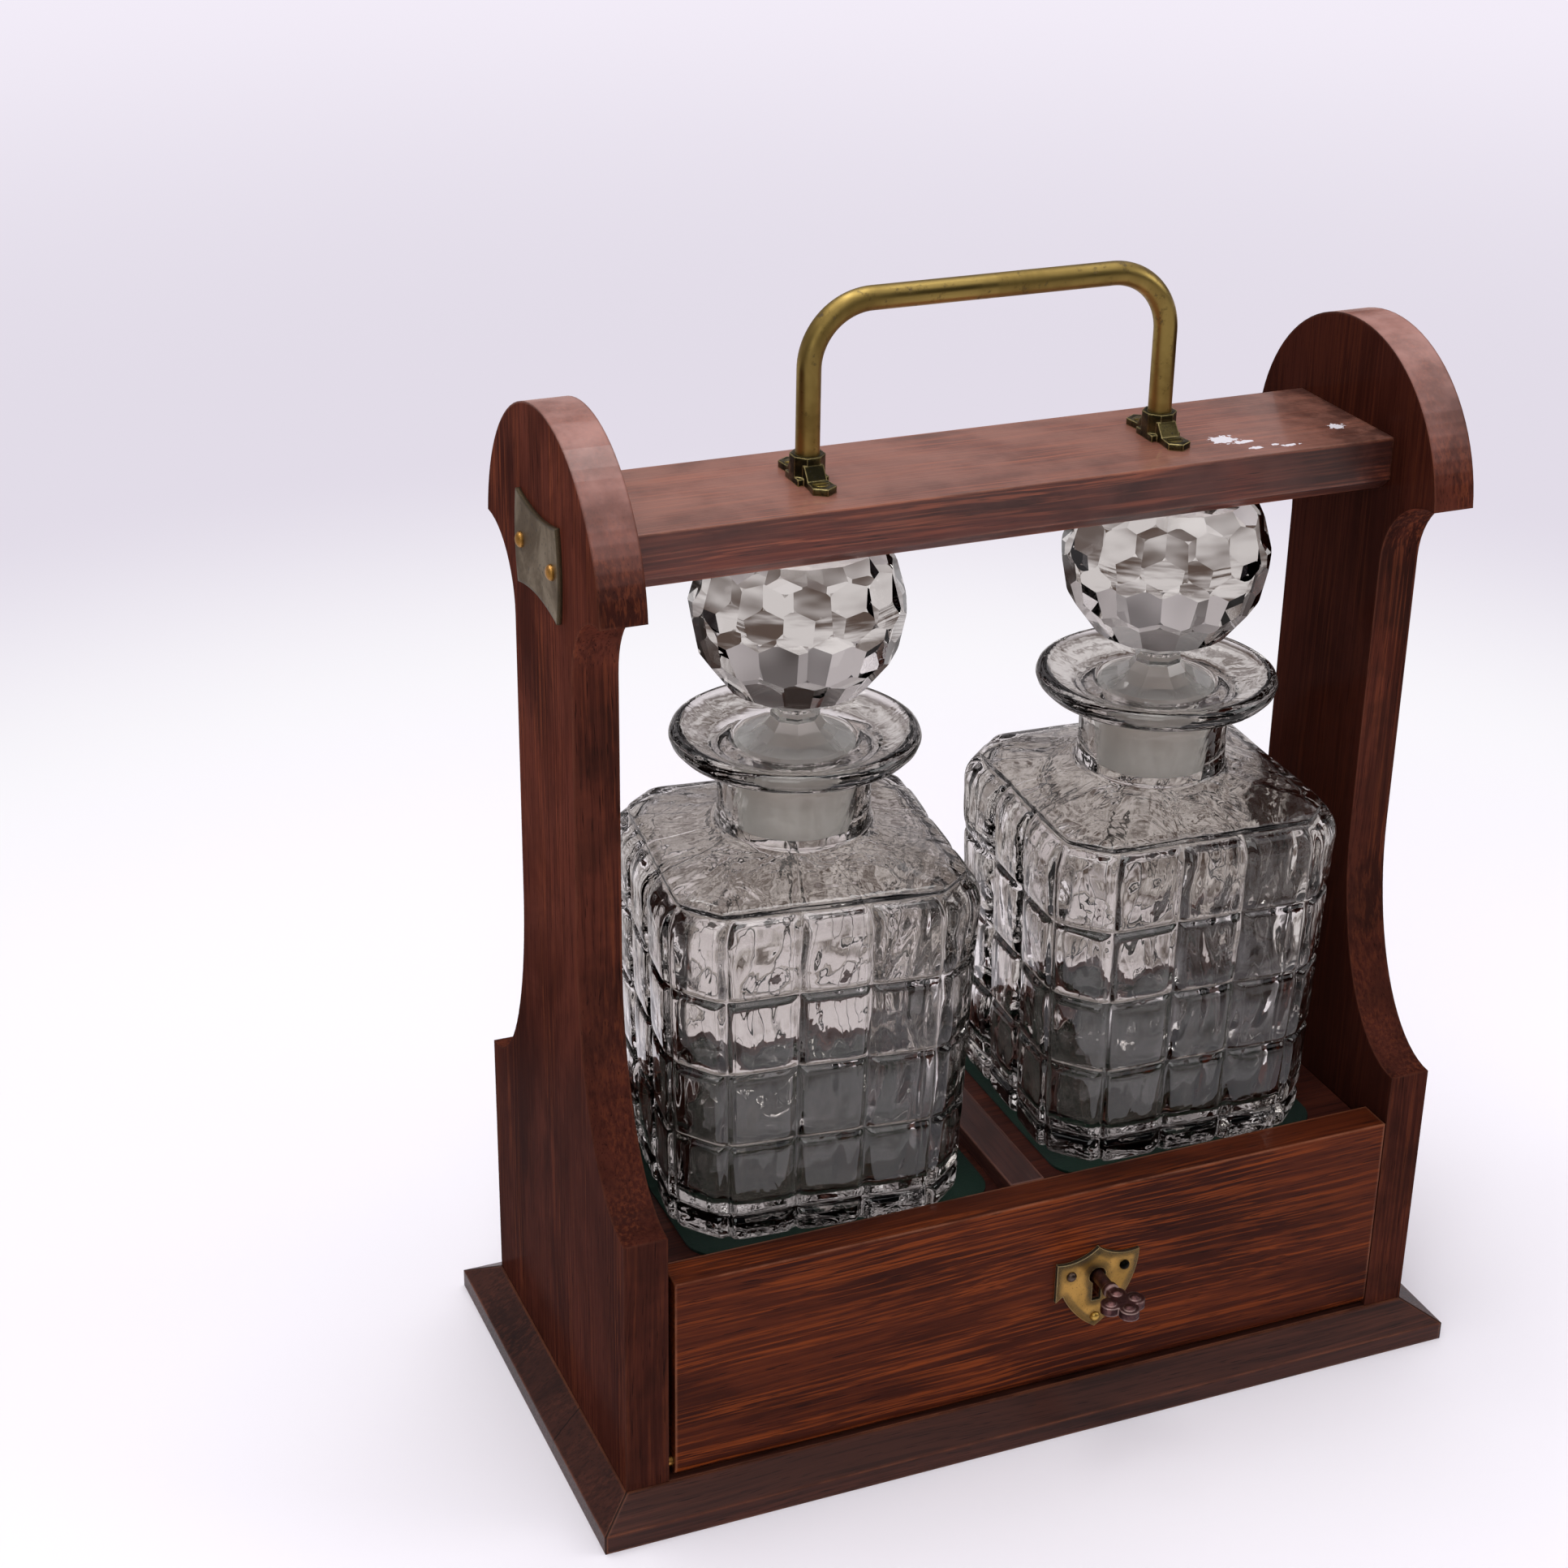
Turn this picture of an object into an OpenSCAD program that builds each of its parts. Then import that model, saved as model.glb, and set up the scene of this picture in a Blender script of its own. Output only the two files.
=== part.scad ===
/* [Case] */
// Width over the outer faces of the two end panels
case_w = 240; // [236:1:250]
// Depth of the end panels at the foot
case_d = 110.4; // [110:0.1:112]
// Thickness of each end panel
panel_t = 12; // [11:0.5:14]
// Height of the base
base_h = 10.8; // [9:0.1:12]
// How far the base moulding stands out all round
moulding_w = 9.2; // [8:0.1:12]
// Height of the moulding's upright outer edge
moulding_edge = 5.4; // [4:0.1:7]

/* [End panel outline] */
// Height of the lower shoulder of the end panel
shoulder_z = 88; // [86:0.5:95]
// Half of the panel's depth at its narrow waist
waist_half = 22.3; // [20:0.1:24]
// Height of the long hollow sweep above the lower shoulder
sweep_h = 64; // [50:1:80]
// Radius of the round cove under the arch
cove_r = 21; // [18:0.5:21]
// Height of the top of the cove
cove_top = 252; // [250:0.5:256]
// Radius of the arched head
arch_r = 44; // [43.5:0.1:48]
// Height of the arch's centre
arch_z = 248.2; // [246:0.1:250]

/* [Top bar] */
// Depth of the top bar
bar_d = 45.6; // [42:0.1:46]
// Height of the bar's underside
bar_low = 251.2; // [251:0.1:253]
// Thickness of the top bar
bar_t = 14.7; // [13:0.1:16]
// Bevel on the bar's lower edges
bar_bevel = 3.2; // [2:0.1:4]

/* [Flap and tray] */
// Height of the top of the flap, the back board and the divider
flap_top = 73.2; // [72:0.1:76]
// Thickness of the flap and of the back board
board_t = 10; // [10:0.1:11]
// Open gap at the flap's left end
gap_left = 1.9; // [0.5:0.1:3]
// Open gap at the flap's right end
gap_right = 0.4; // [0.3:0.1:2]
// Width of the divider
divider_w = 10; // [8:0.5:12]
// Thickness of the tray board
tray_t = 7; // [7:0.1:7.5]
// Height of the tray board's upper face
tray_top = 67.9; // [67.9:0.1:68.5]
// Thickness of the baize
baize_t = 0.8; // [0.5:0.1:1]

/* [Decanters] */
// Width of the decanter across its flat sides, at its foot
glass_w = 82; // [78:0.5:82]
// How much wider the decanter is at its shoulder than at its foot
glass_flare = 4.8; // [0:0.1:5]
// Size of the cut corner of the decanter, along the side
glass_corner = 12; // [10:0.5:13]
// Thickness of the glass wall
glass_wall = 4.5; // [3:0.1:6]
// Thickness of the glass bottom
glass_floor = 8; // [5:0.5:12]
// Where the rounded edge of the shoulder starts, above the decanter's foot
glass_shoulder = 89; // [86:0.1:90]
// Radius of the rounded edge of the shoulder
shoulder_r = 10.4; // [8:0.1:12]
// Slope of the shoulder up to the neck, in degrees
shoulder_slope = 17; // [12:0.5:20]
// Outer radius of the neck
neck_r = 20.4; // [19:0.1:22]
// Height of the top of the flange, above the decanter's foot
flange_top = 130.6; // [129:0.1:131]
// Radius of the flange
flange_r = 33; // [30:0.1:34]
// Radius of the stopper's ball
ball_r = 28; // [26:0.1:28]
// Height of the middle of the ball, above the decanter's foot
ball_z = 163.8; // [163:0.1:164]
// Place of the left decanter, from the middle
glass_left = -52; // [-54:0.5:-52]
// Place of the right decanter, from the middle
glass_right = 55; // [52:0.5:58]
// How far the left decanter is turned on its place, in degrees
glass_turn_left = -6.5; // [-7:0.5:7]
// How far the right decanter is turned on its place, in degrees
glass_turn_right = -2.5; // [-7:0.5:7]
// Free height between the stopper and the bar
glass_play = 1.2; // [0.8:0.1:2]

/* [Metalwork] */
// Diameter of the handle rod
rod_d = 6.2; // [5:0.1:6.6]
// Distance between the handle's legs
handle_w = 99.8; // [90:0.1:110]
// Height of the middle of the handle's rod above the top bar
handle_rise = 45.1; // [42:0.1:48]
// Bend radius of the handle, on the rod's middle line
handle_bend = 16.5; // [12:0.5:20]
// Thickness of the brass plates
plate_t = 1.2; // [1:0.1:1.5]
// Place of the lock to the right of the middle
lock_x = 17.3; // [0:0.1:20]
// Height of the key
key_z = 45.5; // [45.5:0.1:45.6]
// How far the bolt moves
bolt_throw = 5.5; // [4:0.1:5.5]

/* [Hidden] */
$fn = 96;

mahogany = "#5a2e22";
dark_wood = "#3d2622";
brass = "#a08b4a";
iron = "#3a2426";
baize = "#0b3a26";
clear_glass = "#c8d0cc";

// Free space between pieces that must not bind
clear = 0.3;
// Radial clearance of a pin that turns in its hole
run_fit = 0.05;

half_w = case_w / 2;
half_d = case_d / 2;
inner = half_w - panel_t;
bar_top = bar_low + bar_t;
bar_mid = bar_low + bar_t / 2;
handle_z = bar_top + handle_rise;

// Flap and its pivot: the lower front edge is rounded about the pivot
flap_low = base_h + 0.4;
pivot_r = 3.5;
pivot_y = -half_d + pivot_r;
pivot_z = flap_low + pivot_r;
pin_r = 1.5;
pin_in_panel = 7;
pin_in_flap = 7.5;
flap_l = -inner + gap_left;
flap_r = inner - gap_right;
flap_back = -half_d + board_t;
tray_low = tray_top - tray_t;
tray_front = flap_back + clear;
back_front = half_d - board_t;
housing = 3;

// Decanter and stopper, heights measured from the decanter's foot
foot_z = tray_top + baize_t;
glass_half = glass_w / 2;
foot_bevel = 1.5;
floor_bevel = 3;
flange_t = 6.6;
peg_top_r = 16;
peg_low_r = 15;
peg_low = 104.3;
peg_top = 126.5;
stem_r = 5.4;
stem_foot_r = 9;
stem_foot_h = 2.4;
stem_low = peg_top + 4.6;
ball_flat = 27.2;
mouth_gap = 3;
ball_top = bar_low - glass_play - foot_z;

// Lock
plate_x = 24.5;
case_x = 19;
case_low = 32;
case_high = 58;
sheet = 1.2;
lock_depth = 9;
lock_face = flap_back;
lock_rear = lock_face + lock_depth;
shank_r = 1.8;
shank_tip_r = 1.2;
bit_r = 7.5;
bit_t = 2.2;
bolt_t = 3;
bolt_y = lock_rear - sheet - 1.1 - bolt_t;
bolt_high = case_high + 1 - key_z;
bolt_bar = bit_r + 1.5;
post_r = 1.2;
slot_r = bit_r + 0.6;
keyhole_r = 2.6;
keyhole_w = 2.8;
head_l = -9;
head_r = 15;
web_x = slot_r + 0.5;
web_low = -8;
web_lap = 0.5;
catch_x = 3.5;
catch_z = 3.8;
rest_x = 4.5;
rest_low = -5;
rest_high = -1.3;
post_x = (web_x + head_r) / 2;
post_z = 1;
strike_t = 1.2;
strike_l = head_l - 7;
strike_r = head_r + 7;

// Small screws as length and diameter, round pins as head radius, head height, radius, length
handle_screw = [11, 2.2];
lock_screw = [7.5, 1.6];
strike_screw = [5.5, 1.6];
plate_pin = [2.1, 1.5, 0.8, 7];
shield_pin = [1.5, 1.1, 0.6, 5];
screw_d = 3.2;
bar_screw_len = 34;
bar_screw_y = 9;
base_screw_y = 30;
base_screw_len = 32;
foot_t = 1.8;
collar = 8.4;
collar_h = 5.2;
lug_y = 13.5;
lug_hole_y = 9;
foot_neck = 2.6;
web_y = 6.7;
web_h = 3.2;

function ring(cx, cy, rx, ry, a, b, n) =
    [for (i = [0:n]) [cx + rx * cos(a + (b - a) * i / n), cy + ry * sin(a + (b - a) * i / n)]];

// Half outline of an end panel, from the foot up to the top of the arch
sweep_y = half_d - waist_half;
arch_start = asin((cove_top - arch_z) / arch_r);
panel_half = concat(
    [[half_d, base_h]],
    ring(half_d, shoulder_z + sweep_h, sweep_y, sweep_h, 270, 180, 20),
    ring(waist_half + cove_r, cove_top - cove_r, cove_r, cove_r, 180, 90, 12),
    ring(0, arch_z, arch_r, arch_r, arch_start, 90, 20)
);
panel_outline = concat(panel_half, [for (i = [len(panel_half) - 2:-1:0])
    [-panel_half[i][0], panel_half[i][1]]]);

// Draws a flat shape given as depth and height, and extrudes it along the width
module along_x(x, t) { translate([x, 0, 0]) rotate([90, 0, 90]) linear_extrude(t) children(); }

// Draws a flat shape given as width and height, and extrudes it from y towards the front
module along_y(y, t) { translate([0, y, 0]) rotate([90, 0, 0]) linear_extrude(t) children(); }

module box(a, b) { translate(a) cube(b - a); }

// Countersunk wood screw with its head at the origin, pointing up
module screw(len, d, slot = true) {
    difference() {
        union() {
            cylinder(h = d / 2, r1 = d, r2 = d / 2, $fn = 32);
            cylinder(h = len - d, r = d / 2, $fn = 32);
            translate([0, 0, len - d]) cylinder(h = d, r1 = d / 2, r2 = 0.2, $fn = 32);
        }
        if (slot) translate([-d * 1.1, -0.4, -0.1]) cube([d * 2.2, 0.8, 0.8]);
    }
}

// Round-headed pin with its head above the origin and its shank below
module round_pin(head_r, head_h, shank_r, shank_len) {
    rotate_extrude($fn = 48) polygon(concat(
        [[0, -shank_len], [shank_r, -shank_len], [shank_r, 0]],
        ring(0, 0, head_r, head_h, 0, 90, 8)));
}

// Lower base board and its four mouldings
module moulding_ring() {
    out_x = half_w + moulding_w;
    out_y = half_d + moulding_w;
    slope = (base_h - moulding_edge) / moulding_w;
    intersection() {
        box([-out_x, -out_y, 0], [out_x, out_y, base_h]);
        along_x(-out_x, 2 * out_x) polygon([[-out_y, 0], [out_y, 0], [out_y, moulding_edge],
            [half_d, base_h], [-half_d, base_h], [-out_y, moulding_edge]]);
        along_y(out_y, 2 * out_y) polygon([[-out_x, 0], [out_x, 0], [out_x, moulding_edge],
            [half_w, base_h], [-half_w, base_h], [-out_x, moulding_edge]]);
    }
}

module mitre(w, d) {
    reach = moulding_w * 1.5;
    polygon([[-w, -d], [-w - reach, -d - reach], [w + reach, -d - reach], [w, -d]]);
}

module moulding(turn, w, d) {
    intersection() {
        moulding_ring();
        rotate(turn) linear_extrude(base_h) mitre(w, d);
    }
}

module base_screw_set(slot) {
    for (x = [-1, 1], y = [-1, 1])
        translate([x * (half_w - panel_t / 2), y * base_screw_y, 0]) screw(base_screw_len, screw_d, slot);
}

module base_board() color(dark_wood) difference() {
    box([-half_w, -half_d, 0], [half_w, half_d, base_h]);
    base_screw_set(false);
}
module base_moulding_front() color(dark_wood) moulding(0, half_w, half_d);
module base_moulding_back() color(dark_wood) moulding(180, half_w, half_d);
module base_moulding_left() color(dark_wood) moulding(-90, half_d, half_w);
module base_moulding_right() color(dark_wood) moulding(90, half_d, half_w);

// Screws through the end panels into the bar
module bar_screw_set(slot) {
    for (s = [-1, 1], y = [-1, 1])
        translate([s * half_w, y * bar_screw_y, bar_mid]) rotate([0, -90 * s, 0])
            screw(bar_screw_len, screw_d, slot);
}

plate_drop = 3.45;
plate_mid = bar_mid - plate_drop;
plate_half_z = 12.3;
plate_half_y = 15.5;
plate_pin_y = 12;

module end_pin_set() {
    for (s = [-1, 1], y = [-1, 1])
        translate([s * (half_w + plate_t), y * plate_pin_y, plate_mid]) rotate([0, 90 * s, 0])
            round_pin(plate_pin[0], plate_pin[1], plate_pin[2], plate_pin[3]);
}

module pivot_pin(s) {
    x0 = s < 0 ? -inner - pin_in_panel : flap_r - pin_in_flap;
    x1 = s < 0 ? flap_l + pin_in_flap : inner + pin_in_panel;
    translate([x0, pivot_y, pivot_z]) rotate([0, 90, 0]) cylinder(h = x1 - x0, r = pin_r, $fn = 48);
}

module tray_solid() box([-inner - housing, tray_front, tray_low], [inner + housing, back_front, tray_top]);

module end_panel(s) {
    difference() {
        along_x(s < 0 ? -half_w : inner, panel_t) polygon(panel_outline);
        tray_solid();
        bar_screw_set(false);
        base_screw_set(false);
        end_pin_set();
        pivot_pin(s);
    }
}
module end_panel_left() color(mahogany) end_panel(-1);
module end_panel_right() color(mahogany) end_panel(1);

module handle_screw_set(slot) {
    for (x = [-1, 1], y = [-1, 1])
        translate([x * handle_w / 2, y * lug_hole_y, bar_top + foot_t]) rotate([180, 0, 0])
            screw(handle_screw[0], handle_screw[1], slot);
}

module top_bar() color(mahogany) difference() {
    along_x(-inner, 2 * inner) polygon([
        [-bar_d / 2 + bar_bevel, bar_low], [bar_d / 2 - bar_bevel, bar_low],
        [bar_d / 2, bar_low + bar_bevel], [bar_d / 2, bar_top],
        [-bar_d / 2, bar_top], [-bar_d / 2, bar_low + bar_bevel]]);
    bar_screw_set(false);
    handle_screw_set(false);
}

module back_board() color(mahogany) box([-inner, back_front, base_h], [inner, half_d, flap_top]);

// The lock's outlines, given round the key's axis
module keyhole(extra = 0) {
    translate([lock_x, key_z]) {
        circle(r = keyhole_r + extra, $fn = 48);
        translate([-keyhole_w / 2 - extra, -slot_r]) square([keyhole_w + 2 * extra, slot_r]);
    }
}

module strike_outline() translate([lock_x + strike_l, bolt_y - 2])
    square([strike_r - strike_l, bolt_t + 4]);
module bolt_slot() translate([lock_x + head_l - clear, bolt_y - clear])
    square([head_r - head_l + 2 * clear, bolt_t + 2 * clear]);
module strike_screw_set(slot) {
    for (x = [strike_l + 3, strike_r - 3])
        translate([lock_x + x, bolt_y + bolt_t / 2, tray_low])
            screw(strike_screw[0], strike_screw[1], slot);
}

module tray_board() color(mahogany) difference() {
    tray_solid();
    translate([0, 0, tray_low]) linear_extrude(strike_t) strike_outline();
    translate([0, 0, tray_low]) linear_extrude(bolt_throw - 0.9) bolt_slot();
    strike_screw_set(false);
}

module divider() color(mahogany)
    box([-divider_w / 2, tray_front, tray_top], [divider_w / 2, back_front, flap_top]);

module tray_baize(s) {
    a = s < 0 ? -inner : divider_w / 2;
    b = s < 0 ? -divider_w / 2 : inner;
    box([a, tray_front, tray_top], [b, back_front, foot_z]);
}
module tray_baize_left() color(baize) tray_baize(-1);
module tray_baize_right() color(baize) tray_baize(1);

module lock_screw_set(slot) {
    for (x = [-1, 1], z = [case_low + 3, case_high - 5])
        translate([lock_x + x * (plate_x - 2.7), lock_face + sheet, z]) rotate([90, 0, 0])
            screw(lock_screw[0], lock_screw[1], slot);
}

escutcheon_pins_at = [[-8.2, 1.6], [8.2, 1.6], [0, -13.6]];
module escutcheon_pin_set() {
    for (p = escutcheon_pins_at)
        translate([lock_x + p[0], -half_d - plate_t, key_z + p[1]]) rotate([90, 0, 0])
            round_pin(shield_pin[0], shield_pin[1], shield_pin[2], shield_pin[3]);
}

module front_flap() color(mahogany) difference() {
    union() {
        box([flap_l, -half_d, pivot_z], [flap_r, flap_back, flap_top]);
        box([flap_l, pivot_y, flap_low], [flap_r, flap_back, pivot_z]);
        translate([flap_l, pivot_y, pivot_z]) rotate([0, 90, 0]) cylinder(h = flap_r - flap_l, r = pivot_r);
    }
    for (x = [flap_l - 1, flap_r - pin_in_flap - 0.5])
        translate([x, pivot_y, pivot_z]) rotate([0, 90, 0])
            cylinder(h = pin_in_flap + 1.5, r = pin_r + run_fit, $fn = 48);
    along_y(flap_back + 1, board_t + 2) keyhole(0.3);
    lock_screw_set(false);
    escutcheon_pin_set();
}
module pivot_pin_left() color(brass) pivot_pin(-1);
module pivot_pin_right() color(brass) pivot_pin(1);

// The eight corners of a square of this half width, each corner of it cut off by cut along a side
function cut_square(half, cut, z) = [for (k = [0:3]) for (p = [[half, half - cut], [half - cut, half]])
    [p[0] * cos(90 * k) - p[1] * sin(90 * k), p[0] * sin(90 * k) + p[1] * cos(90 * k), z]];

// The same at a height on the decanter, with all eight of its sides moved in by inset
function glass_level(inset, z) = cut_square(
    glass_half - inset + glass_flare / 2 * min(z / glass_shoulder, 1),
    glass_corner - (2 - sqrt(2)) * inset, z);

// Body of the decanter, wall in from its outer surface: sides that lean out, the rounded edge of
// the shoulder, and its slope to a small octagon, top_half to each side, inside the neck
module glass_body(wall, low, bevel, top_half) {
    r = shoulder_r - wall;
    edge = [for (i = [0:5]) let (t = (90 - shoulder_slope) * i / 5)
        glass_level(wall + r * (1 - cos(t)), glass_shoulder + r * sin(t))];
    last = edge[5][0];
    top = cut_square(top_half, (2 - sqrt(2)) * top_half,
        last[2] + (last[0] - top_half) * tan(shoulder_slope));
    levels = concat([glass_level(wall + bevel, low), glass_level(wall, low + bevel)], edge, [top]);
    end = 8 * (len(levels) - 1);
    polyhedron(
        [for (level = levels) each level],
        concat([[for (i = [0:7]) i]], [[for (i = [7:-1:0]) end + i]],
            [for (j = [0:len(levels) - 2]) for (i = [0:7]) let (k = (i + 1) % 8)
                [8 * j + 8 + i, 8 * j + 8 + k, 8 * j + k, 8 * j + i]]));
}

module glass_outer() {
    glass_body(0, 0, foot_bevel, neck_r - 2.4);
    rotate_extrude() polygon(concat(
        [[0, glass_shoulder], [neck_r, glass_shoulder], [neck_r, flange_top - flange_t - 2]],
        ring(flange_r - 2.4, flange_top - 2.4, 2.4, 2.4, -60, 90, 6),
        [[0, flange_top]]));
}

module glass_inner() {
    glass_body(glass_wall, glass_floor, floor_bevel, peg_low_r - 2);
    // Ground mouth of the neck, and the dish of the flange
    translate([0, 0, glass_shoulder]) cylinder(h = peg_low - glass_shoulder + 0.1, r = peg_low_r + run_fit);
    translate([0, 0, peg_low]) cylinder(h = peg_top - peg_low,
        r1 = peg_low_r + run_fit, r2 = peg_top_r + run_fit);
    translate([0, 0, peg_top]) cylinder(h = flange_top - peg_top + 0.1,
        r1 = peg_top_r + run_fit, r2 = flange_r - mouth_gap);
}

module decanter() color(clear_glass) difference() { glass_outer(); glass_inner(); }
module at_left() translate([glass_left, 0, foot_z]) rotate(glass_turn_left) children();
module at_right() translate([glass_right, 0, foot_z]) rotate(glass_turn_right) children();
module decanter_left() at_left() decanter();
module decanter_right() at_right() decanter();

module stopper() color(clear_glass) {
    intersection() {
        translate([0, 0, ball_z]) sphere(r = ball_r);
        translate([0, 0, ball_z - ball_flat]) cylinder(h = ball_top - ball_z + ball_flat, r = ball_r + 1);
    }
    rotate_extrude() polygon([[0, peg_low], [peg_low_r, peg_low], [peg_top_r, peg_top],
        [stem_foot_r, peg_top + stem_foot_h], [stem_r, stem_low],
        [stem_r, ball_z - ball_flat + 1], [0, ball_z - ball_flat + 1]]);
}
module stopper_left() at_left() stopper();
module stopper_right() at_right() stopper();

// Brass handle
leg_low = bar_top + foot_t;
module rod_leg() translate([handle_w / 2, 0, leg_low])
    cylinder(h = handle_z - handle_bend - leg_low, r = rod_d / 2, $fn = 48);
module rod_bend() translate([handle_w / 2 - handle_bend, 0, handle_z - handle_bend])
    rotate([90, 0, 0]) rotate_extrude(angle = 90) translate([handle_bend, 0])
        circle(r = rod_d / 2, $fn = 48);
module handle_rod() color(brass) {
    for (s = [0, 1]) mirror([s, 0, 0]) { rod_leg(); rod_bend(); }
    translate([handle_bend - handle_w / 2, 0, handle_z]) rotate([0, 90, 0])
        cylinder(h = handle_w - 2 * handle_bend, r = rod_d / 2, $fn = 48);
}

// Plan of a handle foot: a lug with a pointed end, front and back, and a square middle
module foot_plan() {
    end_x = 3.2;
    end_y = 11.4;
    for (s = [0, 1]) mirror([0, s]) polygon([[-foot_neck, 0], [-foot_neck, 6], [-end_x, end_y],
        [0, lug_y], [end_x, end_y], [foot_neck, 6], [foot_neck, 0]]);
    square(collar, center = true);
}
module handle_foot(s) difference() {
    translate([s * handle_w / 2, 0, bar_top]) {
        linear_extrude(foot_t) foot_plan();
        translate([0, 0, foot_t]) rotate(22.5) cylinder(h = collar_h, r = collar / 2 / cos(22.5), $fn = 8);
        for (turn = [0, 180]) rotate(turn) translate([-foot_neck, 0, foot_t]) rotate([90, 0, 90])
            linear_extrude(2 * foot_neck) polygon([[collar / 2 - 1, 0], [web_y, 0],
                [collar / 2, web_h], [collar / 2 - 1, web_h]]);
    }
    translate([s * handle_w / 2, 0, leg_low]) cylinder(h = collar_h + 1, r = rod_d / 2, $fn = 48);
    handle_screw_set(false);
}
module handle_foot_left() color(brass) handle_foot(-1);
module handle_foot_right() color(brass) handle_foot(1);
module handle_screws() color(brass) handle_screw_set(true);

// Plate on each end panel, with four points, hollow top and bottom and full sides
module end_plate_outline() {
    hollow = 2;
    full = 1.5;
    hollow_r = (pow(plate_half_y, 2) + pow(hollow, 2)) / (2 * hollow);
    full_r = (pow(plate_half_z, 2) + pow(full, 2)) / (2 * full);
    difference() {
        intersection() {
            square([2 * plate_half_y + 2 * full, 2 * plate_half_z], center = true);
            translate([full_r - plate_half_y - full, 0]) circle(r = full_r);
            translate([plate_half_y + full - full_r, 0]) circle(r = full_r);
        }
        for (s = [-1, 1]) translate([0, s * (plate_half_z + hollow_r - hollow)]) circle(r = hollow_r);
    }
}
module end_plate(s) difference() {
    along_x(s < 0 ? -half_w - plate_t : half_w, plate_t) translate([0, plate_mid]) end_plate_outline();
    end_pin_set();
}
module end_plate_left() color(brass) end_plate(-1);
module end_plate_right() color(brass) end_plate(1);
module end_plate_pins() color(brass) end_pin_set();
module bar_screws() color(brass) bar_screw_set(true);
module base_screws() color(iron) base_screw_set(true);

// Shield round the keyhole: two side arcs, and a top edge scooped twice up to a peak
module shield() {
    side_r = 27;
    corner = [12.6, 6.1];
    peak = 9.3;
    scoop_r = 14;
    half_chord = norm([corner[0], peak - corner[1]]) / 2;
    rise = sqrt(pow(scoop_r, 2) - pow(half_chord, 2)) / (2 * half_chord);
    scoop = [corner[0] / 2 + rise * (peak - corner[1]), (corner[1] + peak) / 2 + rise * corner[0]];
    translate([lock_x, key_z]) difference() {
        union() {
            intersection() {
                translate([corner[0] - side_r, corner[1]]) circle(r = side_r);
                translate([side_r - corner[0], corner[1]]) circle(r = side_r);
                translate([-corner[0], corner[1] - side_r]) square([2 * corner[0], side_r]);
            }
            polygon([-corner, [0, corner[1] - 2], corner, [0, peak], [-corner[0], corner[1]]]);
        }
        for (s = [-1, 1]) translate([s * scoop[0], scoop[1]]) circle(r = scoop_r);
    }
}
module escutcheon() color(brass) difference() {
    along_y(-half_d, plate_t) difference() { shield(); keyhole(); }
    escutcheon_pin_set();
}
module escutcheon_pins() color(brass) escutcheon_pin_set();

// Lock: a plate screwed to the flap's back, a case over it, and a bolt that rises into the tray board
module lock_plate() color(brass) difference() {
    box([lock_x - plate_x, lock_face, case_low - 2], [lock_x + plate_x, lock_face + sheet, case_high]);
    along_y(lock_face + sheet + 1, sheet + 2) keyhole(0.3);
    lock_screw_set(false);
}
module lock_case() color(brass) {
    difference() {
        box([lock_x - case_x, lock_face + sheet, case_low], [lock_x + case_x, lock_rear, case_high]);
        box([lock_x - case_x + sheet, lock_face, case_low + sheet],
            [lock_x + case_x - sheet, lock_rear - sheet, case_high - sheet]);
        translate([0, 0, case_high - 2 * sheet]) linear_extrude(3 * sheet) bolt_slot();
        translate([lock_x, lock_rear + 1, key_z]) rotate([90, 0, 0])
            cylinder(h = sheet + 2, r = shank_tip_r + run_fit, $fn = 48);
    }
    translate([lock_x + post_x, lock_rear - sheet, key_z + post_z]) rotate([90, 0, 0])
        cylinder(h = lock_depth - 2 * sheet, r = post_r, $fn = 32);
}
module lock_bolt() color(brass) along_y(bolt_y + bolt_t, bolt_t) translate([lock_x, key_z]) difference() {
    union() {
        translate([head_l, bolt_bar]) square([head_r - head_l, bolt_high - bolt_bar]);
        translate([web_x, web_low]) square([head_r - web_x, bolt_bar + web_lap - web_low]);
        translate([catch_x, catch_z]) square([web_x + web_lap - catch_x, bolt_bar + web_lap - catch_z]);
        translate([rest_x, rest_low]) square([web_x + web_lap - rest_x, rest_high - rest_low]);
    }
    for (drop = [0, bolt_throw])
        translate([post_x, post_z - drop]) circle(r = post_r + run_fit + 0.05, $fn = 32);
    translate([post_x - post_r - 0.1, post_z - bolt_throw]) square([2 * post_r + 0.2, bolt_throw]);
}
module lock_screws() color(brass) lock_screw_set(true);
module strike_plate() color(brass) difference() {
    translate([0, 0, tray_low]) linear_extrude(strike_t) difference() { strike_outline(); bolt_slot(); }
    strike_screw_set(false);
}
module strike_screws() color(brass) strike_screw_set(true);

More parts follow.
